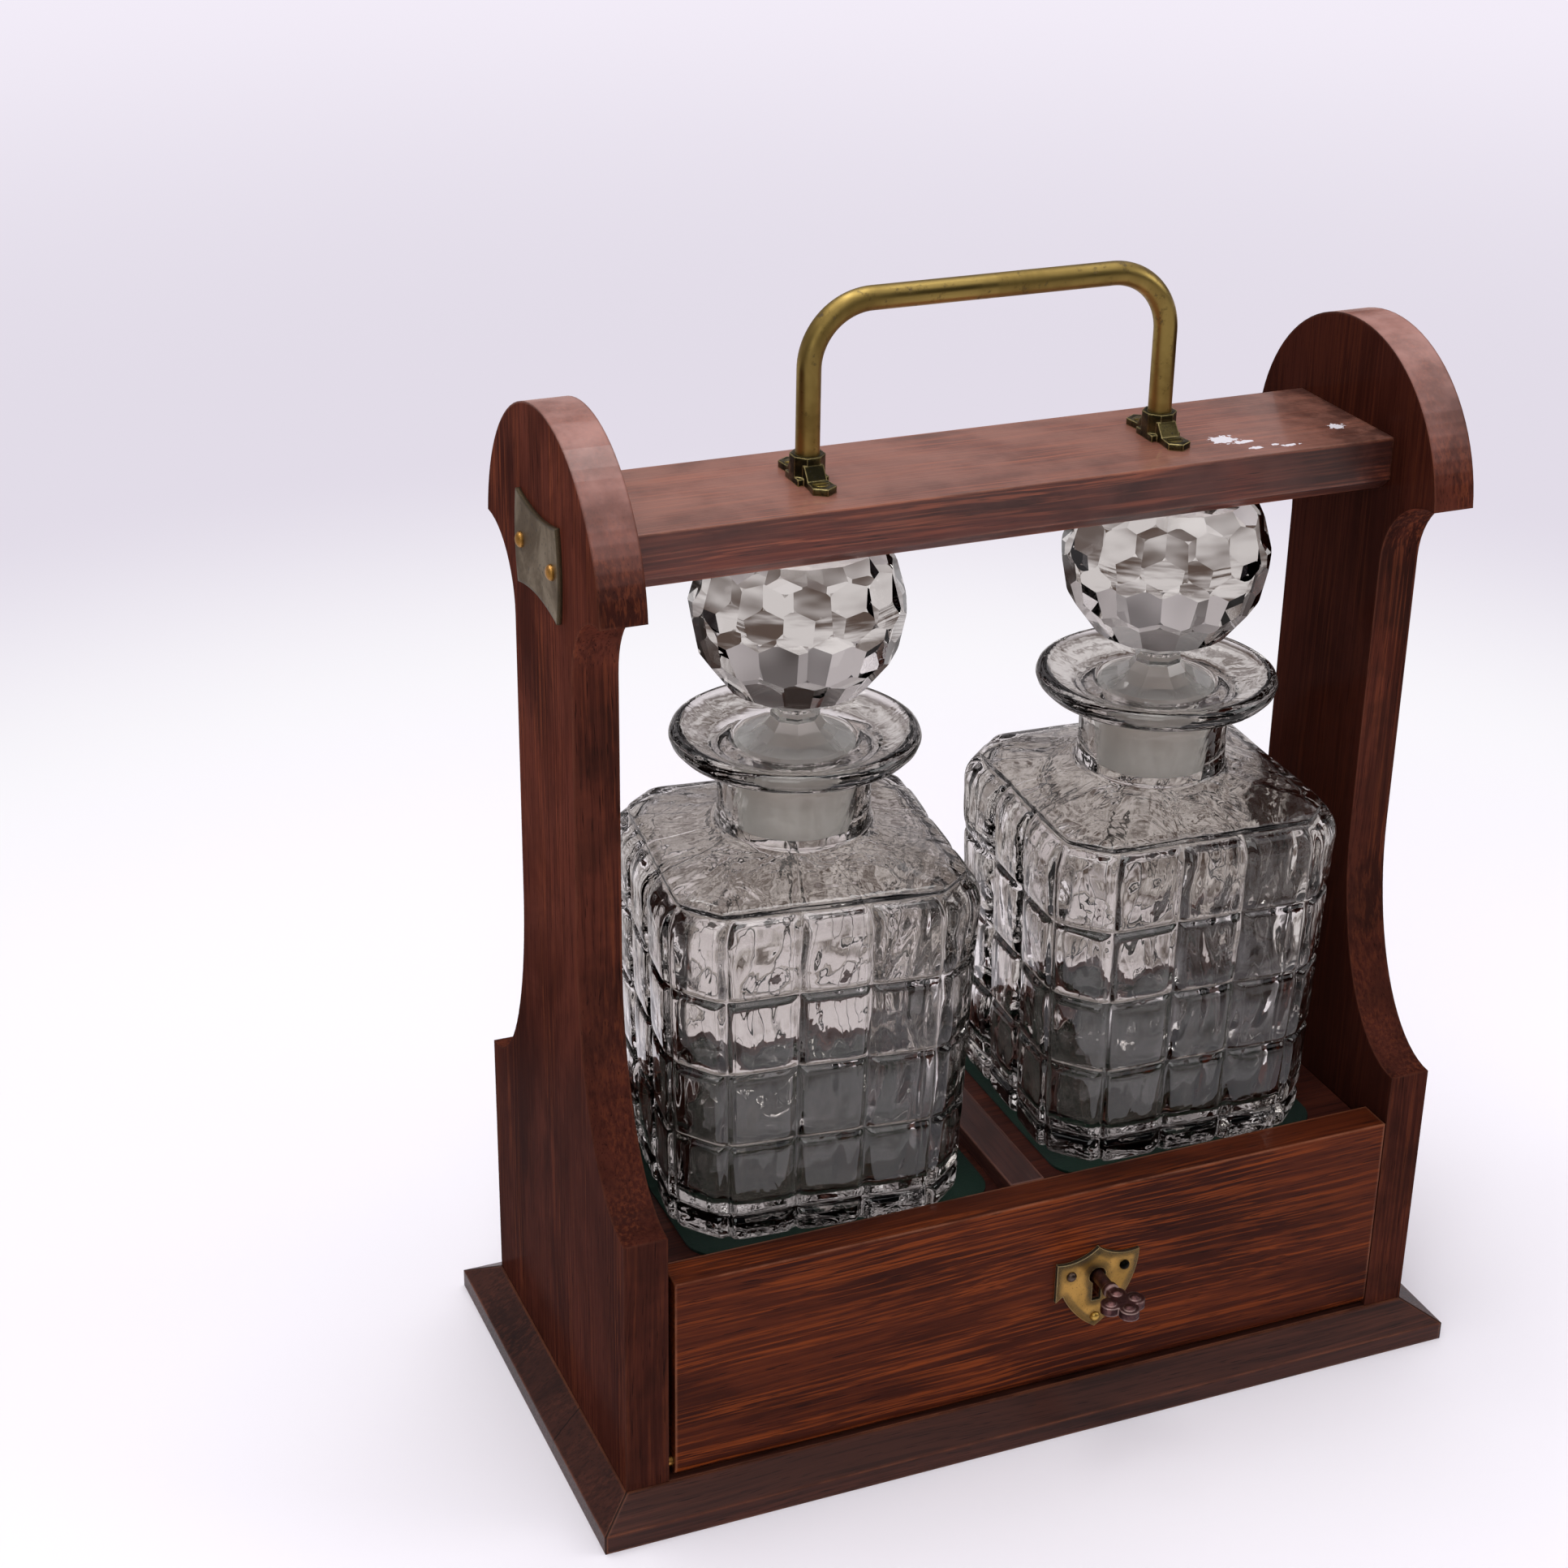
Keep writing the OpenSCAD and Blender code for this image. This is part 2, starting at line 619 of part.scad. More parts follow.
// Key: shank along the depth, bit pointing to the right, and a flat bow of four round lobes,
// each with a domed bead, that stands on one of its corners
bow_y = -70.7;
bow_t = 2.4;
lobe_r = 2.8;
lobe_out = 3.7;
bead_r = 2;
collar_r = 2.3;
bow_rear = bow_y + lobe_out + lobe_r;
shank_front = bow_rear - lobe_r;
module key() color(iron) {
    translate([lock_x, shank_front, key_z]) rotate([-90, 0, 0]) {
        cylinder(h = lock_rear - sheet - 0.3 - shank_front, r = shank_r, $fn = 48);
        cylinder(h = lock_rear - 0.2 - shank_front, r = shank_tip_r, $fn = 48);
    }
    box([lock_x + 1, bolt_y - 1.6, key_z - bit_t / 2],
        [lock_x + bit_r, bolt_y + bolt_t + clear, key_z + bit_t / 2]);
    translate([lock_x, bow_y, key_z]) {
        linear_extrude(bow_t, center = true) bow_plan();
        for (a = [0:90:270]) rotate(a) translate([lobe_out, 0, 0]) sphere(r = bead_r, $fn = 48);
    }
    translate([lock_x, bow_rear - 0.4, key_z]) rotate([-90, 0, 0])
        cylinder(h = 1.6, r = collar_r, $fn = 48);
}
module bow_plan() {
    rotate(45) square(lobe_out * sqrt(2), center = true);
    for (a = [0:90:270]) rotate(a) translate([lobe_out, 0]) circle(r = lobe_r, $fn = 48);
}

base_board();
base_moulding_front();
base_moulding_back();
base_moulding_left();
base_moulding_right();
end_panel_left();
end_panel_right();
top_bar();
back_board();
tray_board();
divider();
tray_baize_left();
tray_baize_right();
front_flap();
pivot_pin_left();
pivot_pin_right();
decanter_left();
decanter_right();
stopper_left();
stopper_right();
handle_rod();
handle_foot_left();
handle_foot_right();
handle_screws();
end_plate_left();
end_plate_right();
end_plate_pins();
bar_screws();
base_screws();
escutcheon();
escutcheon_pins();
lock_plate();
lock_case();
lock_bolt();
lock_screws();
strike_plate();
strike_screws();
key();
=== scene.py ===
# %% [markdown]
# # An antique two-bottle tantalus
# A tantalus is a locking stand for decanters: the spirits can be seen but not poured until the
# key is turned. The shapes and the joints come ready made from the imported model, so this lesson
# adds what the eye reads next: pressed glass, cut stoppers, polished wood, old brass and baize.
# Everything is in metres, and a finished piece keeps its place in its mesh.

# %% Load the frame
import math

import bmesh
import bpy
import numpy as np
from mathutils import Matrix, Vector


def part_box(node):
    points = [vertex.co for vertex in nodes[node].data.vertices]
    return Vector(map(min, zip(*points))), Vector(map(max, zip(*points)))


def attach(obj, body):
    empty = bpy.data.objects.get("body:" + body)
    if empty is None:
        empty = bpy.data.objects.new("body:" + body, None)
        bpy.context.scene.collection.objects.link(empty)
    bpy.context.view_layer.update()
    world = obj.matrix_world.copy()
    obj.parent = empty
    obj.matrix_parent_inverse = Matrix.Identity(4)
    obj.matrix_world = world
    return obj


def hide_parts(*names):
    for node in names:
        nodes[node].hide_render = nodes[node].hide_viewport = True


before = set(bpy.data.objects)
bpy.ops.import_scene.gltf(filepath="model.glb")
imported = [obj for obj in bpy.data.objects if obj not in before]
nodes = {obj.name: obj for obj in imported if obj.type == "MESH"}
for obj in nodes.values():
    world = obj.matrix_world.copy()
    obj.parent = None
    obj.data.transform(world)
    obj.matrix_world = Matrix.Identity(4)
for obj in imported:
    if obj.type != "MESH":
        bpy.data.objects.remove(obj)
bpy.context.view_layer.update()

# %% [markdown]
# ## Small tools
# A material is a chain of nodes. Typing every node and link by hand hides the idea, so short
# helpers place a node, do a sum, blend two colours or make a noise. They only save typing. The
# last ones bring a new piece into the scene, and tell the frame what it rides on.

# %% Node helpers
MM = 0.001


def tint(code):
    """A colour written as in a paint chart, turned into the linear light that shaders use."""
    parts = [int(code[i:i + 2], 16) / 255 for i in (1, 3, 5)]
    return tuple(c / 12.92 if c < 0.04045 else ((c + 0.055) / 1.055) ** 2.4
                 for c in parts) + (1.0,)


def wire(tree, node, values):
    """Fills a node's inputs. A value that is a socket is linked, and any other is typed in."""
    for key, value in values.items():
        if isinstance(value, bpy.types.NodeSocket):
            tree.links.new(value, node.inputs[key])
        else:
            node.inputs[key].default_value = value


def put(tree, kind, values=None, **settings):
    """Places a node with its settings and inputs."""
    node = tree.nodes.new(kind)
    for key, value in settings.items():
        setattr(node, key, value)
    wire(tree, node, values or {})
    return node


def sum_of(tree, how, a, b=0.0, c=0.0):
    """One Math node: how is its operation, such as MULTIPLY or MAXIMUM."""
    return put(tree, "ShaderNodeMath", {0: a, 1: b, 2: c}, operation=how).outputs[0]


def times(tree, product, *others):
    """Several masks or values multiplied together."""
    for other in others:
        product = sum_of(tree, "MULTIPLY", product, other)
    return product


def stir(tree, share, a, b):
    """Blends colour a towards colour b by share."""
    return put(tree, "ShaderNodeMix", {0: share, 6: a, 7: b}, data_type="RGBA",
               blend_type="MIX", clamp_factor=True).outputs[2]


def step_up(tree, value, start, end, least=0.0, most=1.0):
    """Rises smoothly from least to most while value goes from start to end."""
    return put(tree, "ShaderNodeMapRange", {"Value": value, "From Min": start, "From Max": end,
               "To Min": least, "To Max": most}, interpolation_type="SMOOTHSTEP").outputs[0]


def grainy(tree, place, scale, detail=3.0, rough=0.5, warp=0.0):
    """Cloudy noise from 0 to 1 at scale lumps to the metre."""
    return put(tree, "ShaderNodeTexNoise", {"Vector": place, "Scale": scale, "Detail": detail,
               "Roughness": rough, "Distortion": warp}).outputs[0]


def stretched(tree, place, x, y, z):
    """The same place, measured with another scale along each axis."""
    return put(tree, "ShaderNodeVectorMath", {0: place, 1: (x, y, z)}, operation="MULTIPLY").outputs[0]


def split(tree, place):
    """The x, y and z of a place."""
    return put(tree, "ShaderNodeSeparateXYZ", {0: place}).outputs


def bumpy(tree, height, strength, distance, **normal):
    """A Bump node's normal: height is a mask, and distance is how high a full 1 stands."""
    return put(tree, "ShaderNodeBump", {"Height": height, "Strength": strength,
               "Distance": distance, **normal}).outputs[0]


def ray_kinds(tree):
    """Two masks: rays straight from the camera, and rays that a mirror or glass has sent on."""
    path = put(tree, "ShaderNodeLightPath").outputs
    return path["Is Camera Ray"], sum_of(tree, "MAXIMUM", path["Is Glossy Ray"],
                                         path["Is Transmission Ray"])


def group(name, inputs, outputs):
    """An empty node group with named inputs and outputs, and its two end nodes."""
    tree = bpy.data.node_groups.new(name, "ShaderNodeTree")
    for label, kind in inputs:
        tree.interface.new_socket(label, in_out="INPUT", socket_type="NodeSocket" + kind)
    for label, kind in outputs:
        tree.interface.new_socket(label, in_out="OUTPUT", socket_type="NodeSocket" + kind)
    return tree, tree.nodes.new("NodeGroupInput").outputs, tree.nodes.new("NodeGroupOutput").inputs


def finish_group(tree, ends, values):
    """Links the results to the group's outputs."""
    for label, value in values.items():
        tree.links.new(value, ends[label])


def start_material(name):
    """A new material with only a Principled shader, its tree and the object's own coordinates."""
    material = bpy.data.materials.new(name)
    material.use_nodes = True
    tree = material.node_tree
    shader = tree.nodes["Principled BSDF"]
    return material, tree, shader, put(tree, "ShaderNodeTexCoord").outputs["Object"]


def bring_in(name, data):
    """A new object in the scene, at the origin."""
    thing = bpy.data.objects.new(name, data)
    bpy.context.scene.collection.objects.link(thing)
    return thing


def stand_for(name, mesh, body, node):
    """A new piece that rides on a body in place of its CAD node, which it hides."""
    thing = bring_in(name, mesh)
    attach(thing, body)
    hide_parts(node)
    print(name, len(mesh.polygons), "faces", [round(d * 1000, 1) for d in thing.dimensions], "mm")
    return thing


def dress(material, *names):
    """Gives CAD nodes a material in their own slots."""
    for name in names:
        slots = nodes[name].data.materials
        slots.clear()
        slots.append(material)
    print(material.name, "on", ", ".join(names))


print("helpers ready")

# %% [markdown]
# ## The camera
# The camera stands where the photographer stood: a little above and to the left, with a long
# lens, so the verticals lean in only slightly. Its place, its turn and its focal length in
# pixels were worked out from the corners of the case.

# %% Camera
EYE, EYE_TURN = (-0.31617, -0.62408, 0.50512), (64.495, -0.779, -22.347)
FOCAL_PIXELS, PICTURE_PIXELS, SENSOR = 3522.75, 1932, 36.0
eye = bring_in("camera", bpy.data.cameras.new("camera"))
eye.location = EYE
eye.rotation_euler = [math.radians(a) for a in EYE_TURN]
eye.data.sensor_width = SENSOR
eye.data.lens = FOCAL_PIXELS / PICTURE_PIXELS * SENSOR
eye.data.clip_start, eye.data.clip_end = 0.01, 50.0
bpy.context.scene.camera = eye
bpy.context.scene.view_settings.view_transform = "Standard"
print("lens", round(eye.data.lens, 1), "mm")

# %% [markdown]
# ## The surround and the lamps
# Clear glass and polish have no look of their own: they show the room. In an all-white room a
# cut decanter would vanish. So the world is plain and pale for rays from the camera, and grey
# for the light it gives, but a ray that glass or polish has sent on meets soft dark and pale
# patches, a dark side in front and a bright ceiling. Three square lamps give the rest.

# %% Surround
BACKDROP = tint("#f3edf8")


def patches(tree, place, scale, start, dark, pale):
    """Soft clouds of two colours, with scale of them to the unit."""
    clouds = grainy(tree, place, scale, 4.0, 0.65)
    return stir(tree, step_up(tree, clouds, start, start + 0.2), tint(dark), tint(pale))


world = bpy.data.worlds.new("studio")
bpy.context.scene.world = world
world.use_nodes = True
air = world.node_tree
camera_ray, mirrored = ray_kinds(air)
seen = sum_of(air, "MAXIMUM", camera_ray, mirrored)
way = put(air, "ShaderNodeTexCoord").outputs["Generated"]
room = patches(air, way, 5.0, 0.40, "#3a3230", "#c8c2c6")
_, front, up = split(air, way)
room = stir(air, step_up(air, front, 0.1, -0.3), room, tint("#1c1a1e"))
room = stir(air, step_up(air, up, 0.62, 0.72), room, tint("#f4f2f6"))
shown = stir(air, mirrored, BACKDROP, room)
air.links.new(stir(air, seen, tint("#c4c1c8"), shown), air.nodes["Background"].inputs["Color"])
print("surround", len(air.nodes), "nodes")

# %% Lamps


def lamp(name, place, target, width, power):
    """A square white lamp at place that faces target."""
    data = bpy.data.lights.new(name, "AREA")
    data.size, data.energy = width, power
    thing = bring_in(name, data)
    thing.location = place
    aim = Vector(target) - Vector(place)
    thing.rotation_euler = aim.to_track_quat("-Z", "Y").to_euler()


lamp("lamp_above", (-0.15, 0.15, 1.35), (0, 0, 0.1), 0.9, 8.6)
lamp("lamp_front", (-0.75, -1.1, 0.9), (0, 0, 0.1), 0.8, 4.6)
lamp("lamp_right", (1.2, -0.5, 0.8), (0, 0, 0.15), 0.6, 3.0)

# %% [markdown]
# ## The floor
# The floor is a sheet of pale paper that runs up into the backdrop. Near the stand it is real
# paper, which holds the shadow. Further out it glows by itself, from white through lilac to the
# backdrop's colour. Rays from glass and polish meet patches there too, as they do in the room.

# %% Floor
REACH = 9.0
floor_mesh = bpy.data.meshes.new("floor")
floor_mesh.from_pydata([(-REACH, -REACH, 0), (REACH, -REACH, 0), (REACH, REACH, 0),
                        (-REACH, REACH, 0)], [], [(0, 1, 2, 3)])
floor = bring_in("floor", floor_mesh)
paper, tree, shader, place = start_material("floor_paper")
wire(tree, shader, {"Base Color": tint("#fdfafe"), "Roughness": 1.0, "Specular IOR Level": 0.0})
camera_ray, mirrored = ray_kinds(tree)
away = put(tree, "ShaderNodeVectorMath", {0: place}, operation="LENGTH").outputs["Value"]
far = stir(tree, step_up(tree, away, 0.45, 0.8), tint("#fbf9fd"), tint("#e2dce8"))
far = stir(tree, step_up(tree, away, 0.9, 2.3), far, BACKDROP)
far = stir(tree, mirrored, far, patches(tree, place, 7.0, 0.38, "#645650", "#e6e2e4"))
glow = put(tree, "ShaderNodeEmission", {"Color": far}).outputs[0]
share = sum_of(tree, "MAXIMUM", times(tree, camera_ray, step_up(tree, away, 0.3, 0.55)),
               times(tree, mirrored, step_up(tree, away, 0.2, 0.3)))
mixed = put(tree, "ShaderNodeMixShader", {0: share, 1: shader.outputs[0], 2: glow})
tree.links.new(mixed.outputs[0], tree.nodes["Material Output"].inputs["Surface"])
floor_mesh.materials.append(paper)
print("floor", floor.dimensions[:2])

# %% [markdown]
# ## Polished wood
# Old mahogany is dark red-brown with long streaks of orange along the grain and short black
# pores. Noise that is stretched along the grain gives all three at different sizes. The grain
# group always runs along X, and each material turns its coordinates to suit its board.

# %% Wood grain group
grain, given, ends = group("wood_grain", [("Place", "Vector"), ("Ground", "Color"),
    ("Streak", "Color"), ("Dark", "Color"), ("Streaks", "Float"), ("Pores", "Float")],
    [("Colour", "Color"), ("Roughness", "Float"), ("Height", "Float")])


def strands(place, along, across, detail, rough=0.5, warp=0.0):
    """Noise in strands that lie along X: so many to the metre that way, and so many across."""
    return grainy(grain, stretched(grain, place, along, across, across), 1.0, detail, rough, warp)


SWAY = 0.008
sway = sum_of(grain, "MULTIPLY_ADD", strands(given["Place"], 6, 20, 2.0), SWAY, -SWAY / 2)
sway = put(grain, "ShaderNodeCombineXYZ", {"Y": sway, "Z": sway}).outputs[0]
at = put(grain, "ShaderNodeVectorMath", {0: given["Place"], 1: sway}, operation="ADD").outputs[0]
broad = strands(at, 9, 26, 4.0, 0.6, 0.6)
bands = strands(at, 5, 90, 2.0)
threads = strands(at, 20, 980, 3.0, 0.6, 0.3)
fine = strands(at, 40, 1700, 2.0, 0.6)
pores = strands(at, 110, 2600, 2.0)
streak = times(grain, step_up(grain, threads, 0.47, 0.62),
               step_up(grain, bands, 0.36, 0.6, 0.15, 1.0),
               step_up(grain, fine, 0.3, 0.6, 0.45, 1.0), given["Streaks"])
body = stir(grain, step_up(grain, broad, 0.42, 0.64), given["Ground"], given["Dark"])
body = stir(grain, times(grain, step_up(grain, threads, 0.47, 0.36), 0.5), body, given["Dark"])
body = stir(grain, streak, body, given["Streak"])
holes = times(grain, step_up(grain, pores, 0.40, 0.28), given["Pores"])
body = stir(grain, holes, body, (0.006, 0.003, 0.003, 1))
finish_group(grain, ends, {"Colour": body,
    "Roughness": step_up(grain, fine, 0.3, 0.7, 0.30, 0.44),
    "Height": sum_of(grain, "SUBTRACT", fine, holes)})
print("wood_grain", len(grain.nodes), "nodes")

# %% [markdown]
# ## Worn arrises
# A hand rubs the polish off the sharp edges first. The Bevel node looks at the surface round a
# point: where its rounded normal leans away from the true one, an edge is near. That lean is
# the mask for wear, and the same rounded normal lets every edge catch a thin line of light.

# %% Worn edge group
edges, given, ends = group("worn_edges", [("Place", "Vector"), ("Width", "Float"), ("Wear", "Float")],
    [("Mask", "Float"), ("Near", "Float"), ("Normal", "Vector")])
rounded = put(edges, "ShaderNodeBevel", {"Radius": given["Width"]}, samples=6).outputs[0]
true = put(edges, "ShaderNodeNewGeometry").outputs["True Normal"]
dot = put(edges, "ShaderNodeVectorMath", {0: rounded, 1: true},
          operation="DOT_PRODUCT").outputs["Value"]
bend = sum_of(edges, "SUBTRACT", 1.0, dot)
lean = step_up(edges, bend, 0.004, 0.12)
near = step_up(edges, bend, 0.0006, 0.02)
patchy = step_up(edges, grainy(edges, given["Place"], 60.0, 4.0, 0.6), 0.34, 0.6, 0.3, 1.0)
finish_group(edges, ends, {"Mask": times(edges, lean, patchy, given["Wear"]), "Near": near,
                           "Normal": rounded})
print("worn_edges", len(edges.nodes), "nodes")

# %% [markdown]
# ## Wood finishes
# Every wood on the stand is the same grain with other colours. A paler colour on the faces that
# look up is a painted highlight, and another on the fronts and backs is painted shade, so the
# way a face looks chooses its colour. Then rubbed edges get the colour of bare wood, and the faces
# that look up a thicker coat.

# %% Wood finishes
ALONG_X, ALONG_Z, ALONG_Y = (0, 0, 0), (0, math.pi / 2, 0), (0, 0, math.pi / 2)
ARRIS = 0.0012


def wood(name, ground, streak, dark, turn, streaks, worn="#a0583c", wear=0.8, gloss=0.3,
         coat=0.05, shift=(0, 0, 0), top_highlight=None, front_shade=None, above=0.0):
    """A polished wood: its three colours, the way its grain runs and how worn its edges are.
    faded is the paler colour of its top faces, where they lie over the height above: a painted
    highlight. grimy is the colour of its front and back ones: painted shade."""
    material, tree, shader, place = start_material(name)
    turned = put(tree, "ShaderNodeMapping", {"Vector": place, "Location": shift,
                 "Rotation": turn}).outputs[0]
    figure = put(tree, "ShaderNodeGroup", {"Place": turned}, node_tree=grain)
    wire(tree, figure, {"Ground": tint(ground), "Streak": tint(streak), "Dark": tint(dark),
                        "Streaks": streaks, "Pores": 0.8})
    arris = put(tree, "ShaderNodeGroup", node_tree=edges)
    wire(tree, arris, {"Place": place, "Width": ARRIS, "Wear": wear})
    colour, shine = figure.outputs["Colour"], coat
    facing = split(tree, arris.outputs["Normal"])
    patchy = grainy(tree, place, 55.0, 4.0, 0.6)
    # Front and back faces get painted shade, in patches.
    if front_shade:
        side = step_up(tree, sum_of(tree, "ABSOLUTE", facing["Y"]), 0.45, 0.85)
        side = times(tree, side, step_up(tree, patchy, 0.35, 0.6, 0.5, 0.15))
        colour = stir(tree, side, colour, tint(front_shade))
    # Faces that look up get a painted highlight, a paler colour, and more coat.
    if top_highlight:
        up = times(tree, step_up(tree, facing["Z"], 0.2, 0.9),
                   step_up(tree, split(tree, place)["Z"], above, above + 0.01))
        colour = stir(tree, times(tree, up, step_up(tree, patchy, 0.3, 0.65, 0.35, 0.75)),
                      colour, tint(top_highlight))
        shine = sum_of(tree, "MULTIPLY_ADD", up, 0.5, coat)
    colour = stir(tree, arris.outputs["Mask"], colour, tint(worn))
    wire(tree, shader, {"Base Color": colour, "Roughness": figure.outputs["Roughness"],
         "Normal": bumpy(tree, figure.outputs["Height"], 0.12, 0.0002,
                         Normal=arris.outputs["Normal"]),
         "Coat Weight": shine, "Coat Roughness": 0.16, "Specular IOR Level": gloss})
    return material, tree, shader, place, colour


flap_wood = wood("flap_wood", "#4c2112", "#8c421a", "#32140c", ALONG_X, 0.66, worn="#b87858",
                 wear=0.5, gloss=0.04, coat=0.03, shift=(0.7, 0.4, 0.1))[0]
case_wood = wood("case_wood", "#3c1c16", "#623222", "#220f0d", ALONG_X, 0.4, gloss=0.1)[0]
divider_wood = wood("divider_wood", "#402420", "#603428", "#281614", ALONG_Y, 0.4, gloss=0.3,
                    worn="#7c5244")[0]
print("woods", flap_wood.name, case_wood.name, divider_wood.name)

# %% [markdown]
# ## The end panels
# Their grain stands upright. Their inner faces get painted shade, the darkest colour, outside
# they have dark blotches, and both get darker towards the base. A point's X times its normal's X
# tells the faces apart: it is above zero on an outer face, below it on an inner one, and near
# zero on an edge.

# %% End panel wood
# Its paler tops are a painted highlight, and its dark fronts and backs painted shade.
panel_wood, tree, shader, place, colour = wood(
    "panel_wood", "#5c2f24", "#86462c", "#331813", ALONG_Z, 0.5, worn="#7e4c3a", wear=0.45,
    gloss=0.0, coat=0.03, top_highlight="#b88c82", front_shade="#241814", above=0.2)
true = put(tree, "ShaderNodeNewGeometry").outputs["True Normal"]
out = times(tree, split(tree, place)["X"], split(tree, true)["X"])
inner, outer = step_up(tree, out, -0.04, -0.09), step_up(tree, out, 0.04, 0.09)
blotch = step_up(tree, grainy(tree, place, 28.0, 5.0, 0.65, 0.8), 0.42, 0.62)
foot = step_up(tree, split(tree, place)["Z"], 0.19, 0.10, 0.0, 0.45)
# The first colour is painted shade on the inner faces.
for mask, dark in ((times(tree, inner, 0.75), "#2a100a"), (times(tree, outer, blotch, 0.4), "#3c1a12"),
                   (foot, "#281410")):
    colour = stir(tree, mask, colour, tint(dark))
wire(tree, shader, {"Base Color": colour})
print("shaded", panel_wood.name)

# %% [markdown]
# ## The top bar
# The bar has the most polish left. Its top gets a paler colour as a painted highlight, and its
# fronts and back another as painted shade. Near its right end it has a few flecks of white paint.
# Each fleck is a small oval on the top face whose outline is broken up by noise, and the flecks
# together are one mask. Towards that end, where the bar meets the end panel, it also darkens in
# blotches.

# %% Bar wood
BAR_TOP = 0.266
FLECKS = ((64.6, -8.6, 3.6, 3.2), (68.4, -11.9, 3.0, 1.0), (69.5, -17.2, 2.0, 0.9),
          (79.0, -18.3, 2.4, 0.8), (75.2, -16.6, 1.1, 0.7), (98.9, -9.2, 2.4, 1.9))
# The paler top is a painted highlight, and the colour of the fronts painted shade.
bar_wood, tree, shader, place, colour = wood(
    "bar_wood", "#5c281e", "#a4583a", "#2e1410", ALONG_X, 0.85, worn="#c07a5c", wear=0.6,
    gloss=0.5, coat=0.12, shift=(0.3, 0.1, 0.2), top_highlight="#a06e5e", front_shade="#5a362e")
xyz = split(tree, place)
ragged = times(tree, sum_of(tree, "SUBTRACT", grainy(tree, place, 900.0, 3.0), 0.5), 2.4)
flecks = 0.0
for x, y, half_long, half_wide in FLECKS:
    dx = sum_of(tree, "MULTIPLY_ADD", xyz["X"], 1000 / half_long, -x / half_long)
    dy = sum_of(tree, "MULTIPLY_ADD", xyz["Y"], 1000 / half_wide, -y / half_wide)
    away = sum_of(tree, "POWER", sum_of(tree, "ADD", times(tree, dx, dx), times(tree, dy, dy)), 0.5)
    flecks = sum_of(tree, "MAXIMUM", flecks, step_up(tree, sum_of(tree, "ADD", away, ragged), 1.05, 0.9))
flecks = times(tree, flecks, step_up(tree, xyz["Z"], BAR_TOP - 0.0005, BAR_TOP - 0.0002))
# Darker in blotches towards the right end, where the bar meets the end panel.
right_end_dark = times(tree, step_up(tree, xyz["X"], 0.07, 0.112),
              step_up(tree, grainy(tree, place, 90.0, 5.0, 0.7), 0.36, 0.6, 0.2, 0.85))
colour = stir(tree, right_end_dark, colour, tint("#2e1612"))
wire(tree, shader, {"Base Color": stir(tree, flecks, colour, tint("#eeeaf0"))})
print(len(FLECKS), "flecks on", bar_wood.name)

# %% [markdown]
# ## The base
# The base is the darkest wood. Its mouldings meet at mitres, which show as thin dark lines at
# the corners, and the left one has an old crack across it.

# %% Base wood
PANELS_HALF, BOARD_HALF = 0.12, 0.0552
CRACK_X, CRACK_Y, CRACK_LEAN = -0.1307, -0.0208, 0.45
NEARLY_BLACK = (0.004, 0.002, 0.002, 1)
base_wood, tree, shader, place, colour = wood("base_wood", "#3c211a", "#5c3326", "#231310", ALONG_X,
                                              0.4, worn="#8a5238", wear=0.7, gloss=0.12)
xyz = split(tree, place)
out_x = sum_of(tree, "SUBTRACT", sum_of(tree, "ABSOLUTE", xyz["X"]), PANELS_HALF)
out_y = sum_of(tree, "SUBTRACT", sum_of(tree, "ABSOLUTE", xyz["Y"]), BOARD_HALF)
mitre = step_up(tree, sum_of(tree, "ABSOLUTE", sum_of(tree, "SUBTRACT", out_x, out_y)), 0.0006, 0.0002)
mitre = times(tree, mitre, step_up(tree, out_x, -0.0006, 0.0))
wander = times(tree, grainy(tree, place, 160.0, 2.0), 0.0016)
crack = sum_of(tree, "MULTIPLY_ADD", xyz["X"], -CRACK_LEAN, CRACK_LEAN * CRACK_X - CRACK_Y)
crack = sum_of(tree, "ADD", sum_of(tree, "ADD", crack, xyz["Y"]), wander)
crack = times(tree, step_up(tree, sum_of(tree, "ABSOLUTE", crack), 0.0004, 0.0001),
              step_up(tree, xyz["X"], -0.1195, -0.1205))
dark = times(tree, sum_of(tree, "MAXIMUM", mitre, crack), 0.85)
wire(tree, shader, {"Base Color": stir(tree, dark, colour, NEARLY_BLACK)})
print("marks on", base_wood.name)

# %% Woods on the stand
dress(panel_wood, "end_panel_left", "end_panel_right")
dress(bar_wood, "top_bar")
dress(flap_wood, "front_flap")
dress(case_wood, "back_board", "tray_board")
dress(divider_wood, "divider")
dress(base_wood, "base_board", "base_moulding_front", "base_moulding_back",
      "base_moulding_left", "base_moulding_right")

# %% [markdown]
# ## Old brass and iron
# Handled brass stays golden where it is rubbed and goes brown, green and black in its corners.
# One group turns a clean metal into an old one: noise picks the patches, and the worn-edge mask
# says where the corners are. Iron is the same idea with darker colours and less shine. Of the
# shield's three pins the left one is dull, and the right one is painted nearly black as the
# shade of a hole.

